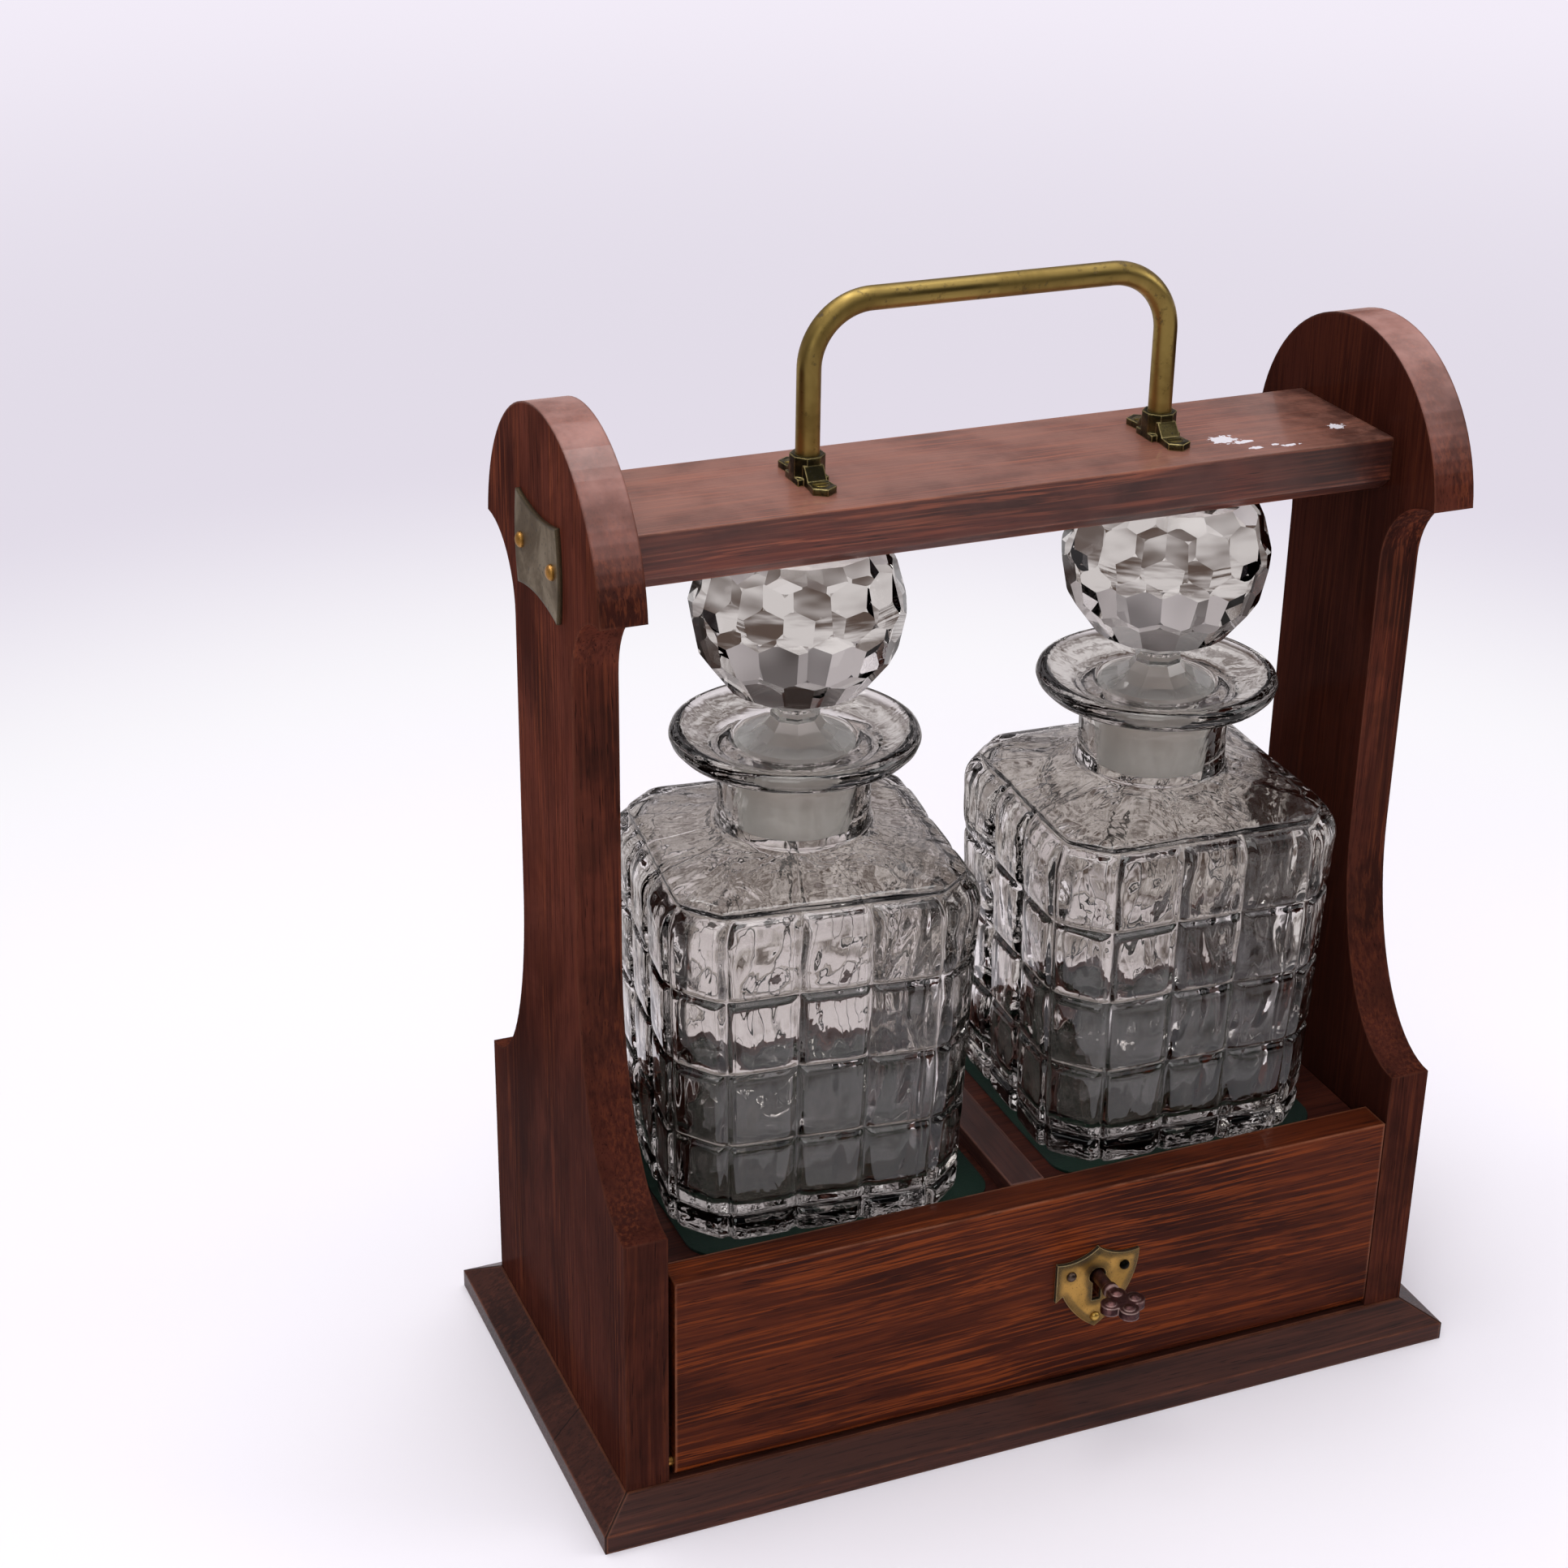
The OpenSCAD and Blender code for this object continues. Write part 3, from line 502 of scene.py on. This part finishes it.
# %% Patina group
patina, given, ends = group("patina", [("Place", "Vector"), ("Metal", "Color"), ("Tarnish", "Color"),
    ("Dirt", "Color"), ("Age", "Float"), ("Corners", "Float"), ("Size", "Float")],
    [("Colour", "Color"), ("Metallic", "Float"), ("Roughness", "Float"), ("Height", "Float")])
clouds = grainy(patina, given["Place"], times(patina, given["Size"], 60.0), 4.0, 0.6, 0.5)
specks = grainy(patina, given["Place"], times(patina, given["Size"], 700.0), 4.0, 0.65)
old = times(patina, step_up(patina, clouds, 0.36, 0.62), given["Age"])
dirt = times(patina, step_up(patina, specks, 0.56, 0.72), given["Age"])
dirt = sum_of(patina, "MAXIMUM", dirt, given["Corners"])
body = stir(patina, old, given["Metal"], given["Tarnish"])
body = stir(patina, dirt, body, given["Dirt"])
finish_group(patina, ends, {"Colour": body, "Metallic": step_up(patina, dirt, 0.2, 0.9, 1.0, 0.35),
    "Roughness": sum_of(patina, "MULTIPLY_ADD", sum_of(patina, "MAXIMUM", old, dirt), 0.28, 0.28),
    "Height": sum_of(patina, "ADD", clouds, times(patina, specks, 0.5))})
print("patina", len(patina.nodes), "nodes")

# %% Metal finishes


def metal(name, clean, tarnish, dirt, age, size=1.0, corner=0.0, width=0.0012, rough_bump=0.15,
          rub=None, rub_width=0.0007):
    """An old metal. corner is how much dirt sits along its edges to a distance of width, and rub
    is the colour of the bare metal at the very edge, within rub_width."""
    material, tree, shader, place = start_material(name)
    hollow = put(tree, "ShaderNodeGroup", node_tree=edges)
    wire(tree, hollow, {"Place": place, "Width": width, "Wear": 1.0})
    aged = put(tree, "ShaderNodeGroup", node_tree=patina)
    wire(tree, aged, {"Place": place, "Metal": tint(clean), "Tarnish": tint(tarnish),
         "Dirt": tint(dirt), "Age": age, "Size": size,
         "Corners": times(tree, hollow.outputs["Near"], corner)})
    colour = aged.outputs["Colour"]
    if rub:
        bare = put(tree, "ShaderNodeGroup", node_tree=edges)
        wire(tree, bare, {"Place": place, "Width": rub_width, "Wear": 1.0})
        colour = stir(tree, bare.outputs["Mask"], colour, tint(rub))
    wire(tree, shader, {"Base Color": colour, "Metallic": aged.outputs["Metallic"],
         "Roughness": aged.outputs["Roughness"],
         "Normal": bumpy(tree, aged.outputs["Height"], rough_bump, 0.0003,
                         Normal=hollow.outputs["Normal"])})
    return material, tree, shader, place, colour


rod_brass = metal("rod_brass", "#ab9254", "#7d6838", "#43341c", 0.85, 0.5, rough_bump=0.08)[0]
foot_brass = metal("foot_brass", "#5a5032", "#262316", "#0d0e0b", 1.0, 2.5, rub="#d8c488",
                   rub_width=0.0005, rough_bump=0.8)[0]
plate_brass = metal("plate_brass", "#8c7a5c", "#665642", "#2c281c", 0.9, 1.0, corner=0.6)[0]
shield_brass = metal("shield_brass", "#b48c4a", "#94743c", "#1a1e16", 0.7, 2.0, corner=1.0,
                     width=0.0036, rub="#c8b07c", rub_width=0.0004)[0]
pin_brass = metal("pin_brass", "#d09a54", "#96702f", "#4a4020", 0.5, 3.0)[0]
shield_pins, tree, shader, place, colour = metal("shield_pins", "#c8a254", "#8c7434", "#3a3220", 0.5, 3.0)
LEFT_PIN_ENDS, RIGHT_PIN_STARTS, HOLE_SHADE = 0.013, 0.021, (0.004, 0.004, 0.003, 1)
across = split(tree, place)["X"]
colour = stir(tree, step_up(tree, across, LEFT_PIN_ENDS + MM, LEFT_PIN_ENDS - MM), colour,
              tint("#5a4c44"))
# The right pin gets painted shade, nearly black, as in a hole.
colour = stir(tree, step_up(tree, across, RIGHT_PIN_STARTS - MM, RIGHT_PIN_STARTS + MM), colour,
              HOLE_SHADE)
wire(tree, shader, {"Base Color": colour})
lock_brass = metal("lock_brass", "#a88c4c", "#6e5a30", "#3a3220", 0.7, 1.0, corner=0.5)[0]
screw_brass = metal("screw_brass", "#7a6836", "#403820", "#15150f", 0.9, 3.0, rough_bump=0.4)[0]
key_iron = metal("key_iron", "#6a4a48", "#3a2729", "#191213", 0.9, 3.0, rub="#c0a49c",
                 rub_width=0.0008, rough_bump=0.9)[0]
dress(rod_brass, "handle_rod")
dress(foot_brass, "handle_foot_left", "handle_foot_right")
dress(plate_brass, "end_plate_left", "end_plate_right")
dress(shield_brass, "escutcheon")
dress(pin_brass, "end_plate_pins", "pivot_pin_left", "pivot_pin_right")
dress(shield_pins, "escutcheon_pins")
dress(lock_brass, "lock_plate", "lock_case", "lock_bolt", "strike_plate")
dress(screw_brass, "handle_screws", "bar_screws", "base_screws", "lock_screws", "strike_screws")
dress(key_iron, "key")

# %% [markdown]
# ## Baize
# Each decanter stands on a piece of green baize, glued to the tray. It is coloured almost black
# and no longer reaches the corners. The cloth is a thin slab whose plan is a rectangle with
# rounded corners, and its fibres are noise in the colour and the bump.

# %% Baize cloth
baize, tree, shader, place = start_material("baize_cloth")
fuzz = grainy(tree, place, 2600.0, 3.0, 0.7)
fade = grainy(tree, place, 30.0, 3.0)
green = stir(tree, step_up(tree, fade, 0.4, 0.65), tint("#021a11"), tint("#042216"))
green = stir(tree, step_up(tree, fuzz, 0.5, 0.8, 0.0, 0.3), green, tint("#0e2e22"))
wire(tree, shader, {"Base Color": green, "Roughness": 1.0, "Sheen Weight": 0.08,
     "Specular IOR Level": 0.1,
     "Normal": bumpy(tree, fuzz, 0.7, 0.0004)})
BAIZE_ROWS, BAIZE_CORNER, BAIZE_BACK, BAIZE_SUNK = 48, 0.009, 0.0004, 0.00013


def cloth(name, node, left, right, front):
    """A thin slab, trimmed at three sides. Across it u and v run from 0 to 1, and its plan is a
    rectangle with round corners: each row is as wide as the corner's circle leaves it. The top
    has a low wave, product of two sines. Both faces and the rim close it."""
    a, b = (np.array(c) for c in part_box(node))
    a += (left, front, 0)
    b -= (right, BAIZE_BACK, 0)
    n, radius = BAIZE_ROWS, BAIZE_CORNER
    v = (1 - np.cos(np.linspace(0, math.pi, n))) / 2 * (b[1] - a[1]) + a[1]
    edge = np.clip(radius - np.minimum(v - a[1], b[1] - v), 0, radius)
    inset = radius - np.sqrt(radius ** 2 - edge ** 2)
    u = np.linspace(0, 1, n)
    x = (a[0] + inset)[:, None] * (1 - u) + (b[0] - inset)[:, None] * u
    y = np.repeat(v[:, None], n, 1)
    wave = 0.00012 * np.sin(x * 180 + y * 90) * np.sin(y * 210)
    top = np.stack([x, y, np.full_like(x, b[2] - BAIZE_SUNK) + wave], 2)
    under = np.stack([x, y, np.full_like(x, a[2])], 2)
    verts = np.concatenate([top.reshape(-1, 3), under.reshape(-1, 3)])
    k = (np.arange(n - 1)[:, None] * n + np.arange(n - 1)).ravel()
    upper = np.stack([k, k + 1, k + n + 1, k + n], 1)
    lower = np.stack([k, k + n, k + n + 1, k + 1], 1) + n * n
    rim = np.concatenate([np.arange(n), np.arange(1, n) * n + n - 1,
                          n * n - 2 - np.arange(n - 1), (n - 2 - np.arange(n - 2)) * n])
    after = np.roll(rim, -1)
    walls = np.stack([rim, rim + n * n, after + n * n, after], 1)
    mesh = bpy.data.meshes.new(name)
    mesh.from_pydata(verts.tolist(), [], np.concatenate([upper, lower, walls]).tolist())
    mesh.materials.append(baize)
    thing = stand_for(name, mesh, "carcase", node)


cloth("baize_cloth_left", "tray_baize_left", left=0.0135, right=0.0022, front=0.004)
cloth("baize_cloth_right", "tray_baize_right", left=0.0085, right=0.0125, front=0.004)

# %% [markdown]
# ## Glass
# Clear glass is a smooth shader that lets light through and bends it. Real lamps shine through
# it too, so a ray on its way to a lamp passes with little loss. Otherwise the decanters would
# throw shadows like stone. The ground peg of the stopper is the same glass with a rough surface.

# %% Glass finishes


def glass(name, roughness, hue, streaky=0.0):
    """Clear or ground glass. streaky gives the pressed surface its shallow ripples."""
    material, tree, shader, place = start_material(name)
    wire(tree, shader, {"Base Color": tint(hue), "Roughness": roughness, "IOR": 1.5,
         "Transmission Weight": 1.0})
    if streaky:
        ripple = grainy(tree, stretched(tree, place, 1.0, 1.0, 0.6), 70.0, 2.5, 0.5, 1.5)
        wire(tree, shader, {"Normal": bumpy(tree, ripple, streaky, 0.0012)})
    shadow = put(tree, "ShaderNodeLightPath").outputs["Is Shadow Ray"]
    through = put(tree, "ShaderNodeBsdfTransparent", {"Color": (0.86, 0.87, 0.87, 1)}).outputs[0]
    mix = put(tree, "ShaderNodeMixShader", {0: shadow, 1: shader.outputs[0], 2: through})
    tree.links.new(mix.outputs[0], tree.nodes["Material Output"].inputs["Surface"])
    return material


pressed_glass = glass("pressed_glass", 0.02, "#e2deda", streaky=0.3)
cut_glass = glass("cut_glass", 0.0, "#e6e2de")
ground_glass = glass("ground_glass", 0.5, "#e8e6e2")
print("glasses", pressed_glass.name, cut_glass.name, ground_glass.name)

# %% [markdown]
# ## The decanters
# A pressed decanter is one skin that runs up the outside, over the lip and down the inside. So
# it is one grid: its columns go round, and its rows follow the profile. The plan is a square with
# cut corners whose sides lean out a little. All its measures are in millimetres.

# %% Decanter plan
HALF, CUT, WALL, FLARE, SHOULDER = 41.0, 12.0, 4.5, 2.4, 89.0
PER_SQUARE = 26


def crowd(n):
    """n steps from 0 to 1 that lie closer together near both ends, where the grooves are."""
    t = (np.arange(n) + 0.5) / n
    return t - 0.62 * np.sin(2 * math.pi * t) / (2 * math.pi)


def plan(angle, z, inset, power):
    """Radius at each angle (columns) and height (rows) of a square with cut corners. Each side
    is a line n.p = d, and adding the sides' (n.u/d) to a high power rounds the corners between
    them. The sides lean out by FLARE up to the shoulder and lie inset further in."""
    lean = FLARE * np.minimum(z / SHOULDER, 1)
    sides = ((0, HALF + lean - inset), (math.pi / 4,
             (2 * HALF - CUT) / math.sqrt(2) + lean * math.sqrt(2) - inset))
    total = 0
    for k in range(4):
        for turn, d in sides:
            total = total + np.maximum(np.cos(angle - k * math.pi / 2 - turn) / d, 0) ** power
    return total ** (-1 / power)


def around():
    """Angle of each column, its distance across from the middle of its square, and half the
    width of that square: three squares on each side of the bottle and one on each cut corner."""
    side, corner = 2 * (HALF - CUT), CUT * math.sqrt(2)
    third = side / 3
    parts = [crowd(PER_SQUARE) * third + k * third for k in range(3)] + [side + crowd(PER_SQUARE) * corner]
    s = np.concatenate(parts)
    flat = s < side
    x = np.where(flat, HALF, HALF - (s - side) / math.sqrt(2))
    y = np.where(flat, s - side / 2, HALF - CUT + (s - side) / math.sqrt(2))
    offset = np.where(flat, np.mod(s, third) - third / 2, s - side - corner / 2)
    angle = np.concatenate([np.arctan2(y, x) + k * math.pi / 2 for k in range(4)])
    return angle, np.tile(offset, 4), np.tile(np.where(flat, third / 2, corner / 2), 4)


angle, offset, half_square = around()
COLUMNS = len(angle)
print("decanter plan", COLUMNS, "columns")

# %% [markdown]
# ## The pressed pattern
# The mould has left rows of raised squares with soft edges. They could be a bump, but then the
# outline of the bottle would stay straight and the glass would not bend the light. So they are
# real hollows: a depth for every point of the grid, taken off its radius.

# %% Pressed squares
LINES, PITCH, TOP, DEEP = 7.8, 22.0, 96.6, 1.5
LAST_LINE = LINES + 3.5 * PITCH
BESIDE, ABOVE = 1.5, 0.85


def rise(t):
    """0 below 0, 1 above 1, smooth between."""
    t = np.clip(t, 0, 1)
    return t * t * (3 - 2 * t)


def pillows(z):
    """How far each point lies from the middle of its square, across (u) and up (v), with 1 at
    the groove, and a number for its square that is different from its neighbours'."""
    v = np.abs(np.mod(z - LINES, PITCH) - PITCH / 2) / (PITCH / 2)
    number = np.floor(np.arange(COLUMNS) / PER_SQUARE)[None] * 2.3 + np.floor((z - LINES) / PITCH) * 5.1
    return np.abs(offset)[None] / half_square[None], v, number


def groove(z, along):
    """Depth of the pressed pattern: a wide round groove beside each square, a narrow one above
    and below it, a crown on the square that falls as the fourth power, and a slight tilt.
    along is the height measured over the curve of the shoulder: past TOP it is all smooth."""
    u, v, number = pillows(z)
    v = np.where(z < LINES, np.clip((LINES - z) * 2 / PITCH, 0, 0.7), v)
    v = np.where(z > LAST_LINE, np.clip((along - LAST_LINE) / (TOP - LAST_LINE), 0, 1), v)
    beside = ((1 - u) * half_square[None] / BESIDE) ** 2
    above = ((1 - v) * PITCH / 2 / ABOVE) ** 2
    above = np.where(z < LINES, ((LINES - z) / ABOVE) ** 2, above)
    lines = DEEP * (1 - (1 - np.exp(-beside)) * (1 - 0.9 * np.exp(-above)))
    tilt = 0.22 * (1 + np.sin(number) * offset[None] / half_square[None])
    return (lines + 0.55 * u ** 4 + 0.6 * v ** 4 + tilt * (1 - v)) * (1 - rise((along - TOP) / 3.0))


print("squares", PITCH, "mm high, grooves", DEEP, "mm deep")

# %% [markdown]
# ## From foot to lip and back
# The profile is walked once, from under the foot up the leaning side, round the shoulder's edge,
# which is part of a circle, up its slope, over the lip, and down inside to the floor. The slope
# blends the square plan into the round neck. The inner skin is wavy, because pressed glass is
# uneven inside, and it's that skin which breaks up what is seen through the bottle.

# %% Decanter rows
EDGE_R, STEEP = 10.4, math.radians(73)
SHARP_CORNERS, SOFT_CORNERS = 70, 16
NECK_FOOT, BORE_FOOT = (20.9, 103.9), (15.6, 99.4)
FLOOR_Z = 8.7
UNDER = [(6.0, 1.0), (24.0, 0.9), (34.0, 0.2)]
LIP = [(20.5, 104.8), (20.4, 107.5), (20.3, 112.0), (20.4, 117.0), (20.5, 120.0), (21.4, 121.6),
       (24.5, 122.8), (28.5, 124.0), (31.0, 125.2), (32.5, 126.8), (33.0, 128.3), (32.5, 129.7),
       (31.2, 130.5), (30.2, 130.5), (28.8, 129.9), (25.5, 128.3), (21.0, 127.2), (17.6, 126.8),
       (16.05, 126.5), (15.8, 121.0), (15.5, 115.0), (15.05, 104.3), (15.2, 100.6)]


def wall_rows(z, steps, wall, power):
    """Radius, height and length along the wall of every row: up the leaning side, round the
    quarter circle of the shoulder's edge to STEEP, at EDGE_R less the thickness of the wall."""
    r = EDGE_R - wall
    t = np.linspace(0, STEEP, steps)[1:, None]
    side = plan(angle[None], z[:, None], wall, power)
    edge = plan(angle[None], np.full_like(t, SHOULDER), wall + r * (1 - np.cos(t)), power)
    height = np.concatenate([z[:, None], SHOULDER + r * np.sin(t)])
    along = np.concatenate([z[:, None], SHOULDER + EDGE_R * t])
    return np.concatenate([side, edge]), height, along


def slope_rows(edge, low_z, neck, n):
    """The shoulder's slope: each row is part of the way from the last row to the neck's circle,
    and its height rises a little faster as it nears the neck."""
    u = np.linspace(0, 1, n)[1:, None]
    return edge * (1 - u) + neck[0] * u, low_z + (neck[1] - low_z) * (0.8 * u + 0.2 * u * u)


def outer_skin(one):
    """The outside from the foot to the neck, less the pressed pattern and a slow wobble. The
    foot's edge is part of a circle."""
    z = np.concatenate([np.linspace(0, LINES, 12)[:-1]]
                       + [LINES + PITCH * (k + crowd(PER_SQUARE)) for k in range(4)])
    r, z, along = wall_rows(z[z < SHOULDER], 26, 0.0, SHARP_CORNERS)
    foot = np.clip(1 - z / 3.0, 0, 1)
    wobble = 0.14 * np.sin(7 * angle + z / 5) * np.sin(z / 9 + 2 * angle) - 0.14
    r = r - 3.0 * (1 - np.sqrt(1 - foot ** 2)) - groove(z, along) + wobble * rise(z / 3.0)
    slope, up = slope_rows(r[-1:], z[-1, 0], NECK_FOOT, 14)
    return np.concatenate([r, slope]), np.concatenate([z, up]) * one


def inner_skin(one):
    """The inside from the bore down to the floor. It swells behind each square, and three waves
    of different lengths run round it."""
    r, z, _ = wall_rows(np.linspace(11, SHOULDER, 36), 10, WALL, SOFT_CORNERS)
    u, v, number = pillows(z)
    melt = 0.4 * np.sin(5 * angle + z / 7) * np.sin(z / 11 - 3 * angle) \
        + 0.25 * np.sin(11 * angle - z / 4) + 0.16 * np.sin(41 * angle + 3 * np.sin(z / 9))
    melt = melt + 0.8 * np.cos(math.pi * u / 2) * np.cos(math.pi * v / 2) + 0.3 * np.sin(number)
    r = r + melt * rise((z - 9) / 6) - 0.9
    slope, up = slope_rows(r[-1:], z[-1, 0], BORE_FOOT, 10)
    return np.concatenate([r, slope])[::-1], (np.concatenate([z, up]) * one)[::-1]


def floor_rows(last, one):
    """The floor inside: the last row drawn in towards the middle, with a swell in its height."""
    swell = 0.5 * np.sin(4 * angle[None]) + 0.5 * np.sin(9 * angle[None] + 2)
    rows = [(last - 1.4, 9.6), (last - 4.5, FLOOR_Z + 0.3 * swell)] \
        + [(last * k, FLOOR_Z + 0.5 * math.sin(21 * k) * (swell + 0.4)) for k in np.linspace(0.85, 0.1, 12)]
    return [(r, z * one) for r, z in rows]


def decanter_rows():
    """All the rows as (radius, height) arrays from the foot's centre."""
    one = np.ones((1, COLUMNS))
    inside = inner_skin(one)
    rows = [(r * one, z * one) for r, z in UNDER] + [outer_skin(one)] \
        + [(r * one, z * one) for r, z in LIP] + [inside] + floor_rows(inside[0][-1:], one)
    return np.concatenate([r for r, _ in rows]), np.concatenate([z for _, z in rows])


radii, heights = decanter_rows()
print("decanter", radii.shape, "rows and columns, up to", heights.max(), "mm")

# %% [markdown]
# ## Closing a grid
# A grid of rows and columns that goes round is a tube. A point at each end, joined to the first
# and the last row, closes it, so that the glass has an inside and an outside everywhere.

# %% Decanters


def close_grid(name, r, z, theta, ends, place, turn):
    """Puts a grid of rows and columns, closed by a point at both ends, into a mesh in place."""
    rows, columns = r.shape
    way = theta[None] + turn
    grid = np.stack([r * np.cos(way), r * np.sin(way), z], 2).reshape(-1, 3)
    verts = np.concatenate([grid, [[0, 0, ends[0]], [0, 0, ends[1]]]]) * MM + np.array(place)
    k, j = np.meshgrid(np.arange(rows - 1) * columns, np.arange(columns), indexing="ij")
    n = np.mod(j + 1, columns)
    quads = np.stack([k + j, k + n, k + n + columns, k + j + columns], 2).reshape(-1, 4)
    j = np.arange(columns)
    n = np.mod(j + 1, columns)
    base, top = len(grid), len(grid) + 1
    first = np.stack([np.full(columns, base), n, j], 1)
    last = np.stack([np.full(columns, top), j + (rows - 1) * columns, n + (rows - 1) * columns], 1)
    mesh = bpy.data.meshes.new(name)
    mesh.from_pydata(verts.tolist(), [], quads.tolist() + first.tolist() + last.tolist())
    mesh.polygons.foreach_set("use_smooth", np.ones(len(mesh.polygons), bool))
    return mesh


def stand_on(node):
    """The middle of a decanter's foot, from the CAD node's own box."""
    a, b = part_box(node)
    return ((a.x + b.x) / 2, (a.y + b.y) / 2, a.z)


DECANTER_TURNS = {"left": math.radians(-6.5), "right": math.radians(-2.5)}
for side, turn in DECANTER_TURNS.items():
    node = "decanter_" + side
    mesh = close_grid("glass_" + side, radii, heights, angle, (UNDER[0][1], FLOOR_Z),
                      stand_on(node), turn)
    mesh.materials.append(pressed_glass)
    stand_for("decanter_glass_" + side, mesh, node, node)

# %% [markdown]
# ## The stoppers
# A cut stopper is a blown ball whose sides are ground flat in rows, each row half a facet round
# from the next, so the facets become six-sided. The ball starts as a smooth turned shape in one
# piece with its stem and peg, and each flat is cut with a plane and filled.

# %% Stopper shape
BALL, BALL_Z, FLAT, FACETS = 28.0, 163.8, 27.0, 14
FACET_ROWS = ((42.0, 0.5), (15.5, 0.0), (-11.0, 0.5), (-37.0, 0.0), (-62.0, 0.5))
UNDER_BAR = 250.0 - 68.7
ROUND, STEM_SIDE, STEM_TOP, PEG_END, PEG_TOP = 112, math.pi / 4, 5.4, 104.3, 126.4
PEG = ((8.0, PEG_END), (14.4, PEG_END), (15.0, 104.9), (15.5, 115.0), (15.9, 124.5), (15.95, 126.3),
       (15.0, 127.2))
STEM = ((11.5, 128.6), (8.2, 130.8), (6.4, 133.2), (6.6, 134.6), (STEM_TOP, 135.4))


def turned_stopper(name, place, turn):
    """The profile from the bottom of the peg up to the top of the ball, turned round. The stem's
    circles become octagons, whose radius is the flat's over the cosine of the way to it."""
    theta = np.arange(ROUND) / ROUND * 2 * math.pi
    eight = math.cos(STEM_SIDE / 2) / np.cos(np.mod(theta, STEM_SIDE) - STEM_SIDE / 2)
    one = np.ones(ROUND)
    phi = np.linspace(BALL_LOW, math.pi / 2, 40)[:-1]
    rows = [(r * one, z) for r, z in PEG] + [(r * eight, z) for r, z in STEM]
    rows += [(BALL * math.cos(p) * one, BALL_Z + BALL * math.sin(p)) for p in phi]
    r = np.stack([radius for radius, _ in rows])
    z = np.repeat(np.array([height for _, height in rows])[:, None], ROUND, 1)
    return close_grid(name, r, z, theta, (PEG_END, BALL_Z + BALL), place, turn)


def facet_planes(turn):
    """The way each flat faces and its distance from the ball's middle: the flat top that lies
    under the bar, and then every facet, at FLAT."""
    planes = [(np.array((0, 0, 1.0)), UNDER_BAR - BALL_Z)]
    for tilt, shift in FACET_ROWS:
        t = math.radians(tilt)
        for k in range(FACETS):
            s = 2 * math.pi * (k + shift) / FACETS + turn
            way = (math.cos(t) * math.cos(s), math.cos(t) * math.sin(s), math.sin(t))
            planes.append((np.array(way), FLAT))
    return planes


def cut_stopper(mesh, place, turn):
    """Cuts the ball, and only the ball, with each plane, and fills the hole with a flat. The peg
    between its ends is ground and smooth, and all the rest is clear."""
    bm = bmesh.new()
    bm.from_mesh(mesh)
    centre = np.array(place) + np.array((0, 0, BALL_Z * MM))
    ring = place[2] + (BALL_Z + BALL * math.sin(BALL_LOW)) * MM - 1e-6
    for way, distance in facet_planes(turn):
        ball = [v for v in bm.verts if v.co.z > ring]
        within = set(ball)
        faces = [f for f in bm.faces if within.issuperset(f.verts)]
        arrises = list(dict.fromkeys(e for f in faces for e in f.edges))
        bmesh.ops.bisect_plane(bm, geom=ball + arrises + faces, plane_no=way, clear_outer=True,
                               plane_co=centre + way * distance * MM, dist=1e-7)
        bmesh.ops.holes_fill(bm, edges=[e for e in bm.edges if e.is_boundary])
    bmesh.ops.recalc_face_normals(bm, faces=bm.faces)
    for f in bm.faces:
        ground = place[2] + 104.0 * MM < f.calc_center_median().z < place[2] + PEG_TOP * MM
        f.material_index, f.smooth = int(ground), ground
    bm.to_mesh(mesh)
    bm.free()


BALL_LOW = math.asin(-math.sqrt(1 - (STEM_TOP / BALL) ** 2))
to_eye = math.atan2(EYE[1], EYE[0] + 0.052)
STOPPER_TURNS = {"left": to_eye + math.radians(6), "right": to_eye + math.radians(18)}
for side, turn in STOPPER_TURNS.items():
    place = stand_on("decanter_" + side)
    mesh = turned_stopper("stopper_" + side, place, turn)
    cut_stopper(mesh, place, turn)
    mesh.materials.append(cut_glass)
    mesh.materials.append(ground_glass)
    stand_for("stopper_glass_" + side, mesh, "stopper_" + side, "stopper_" + side)
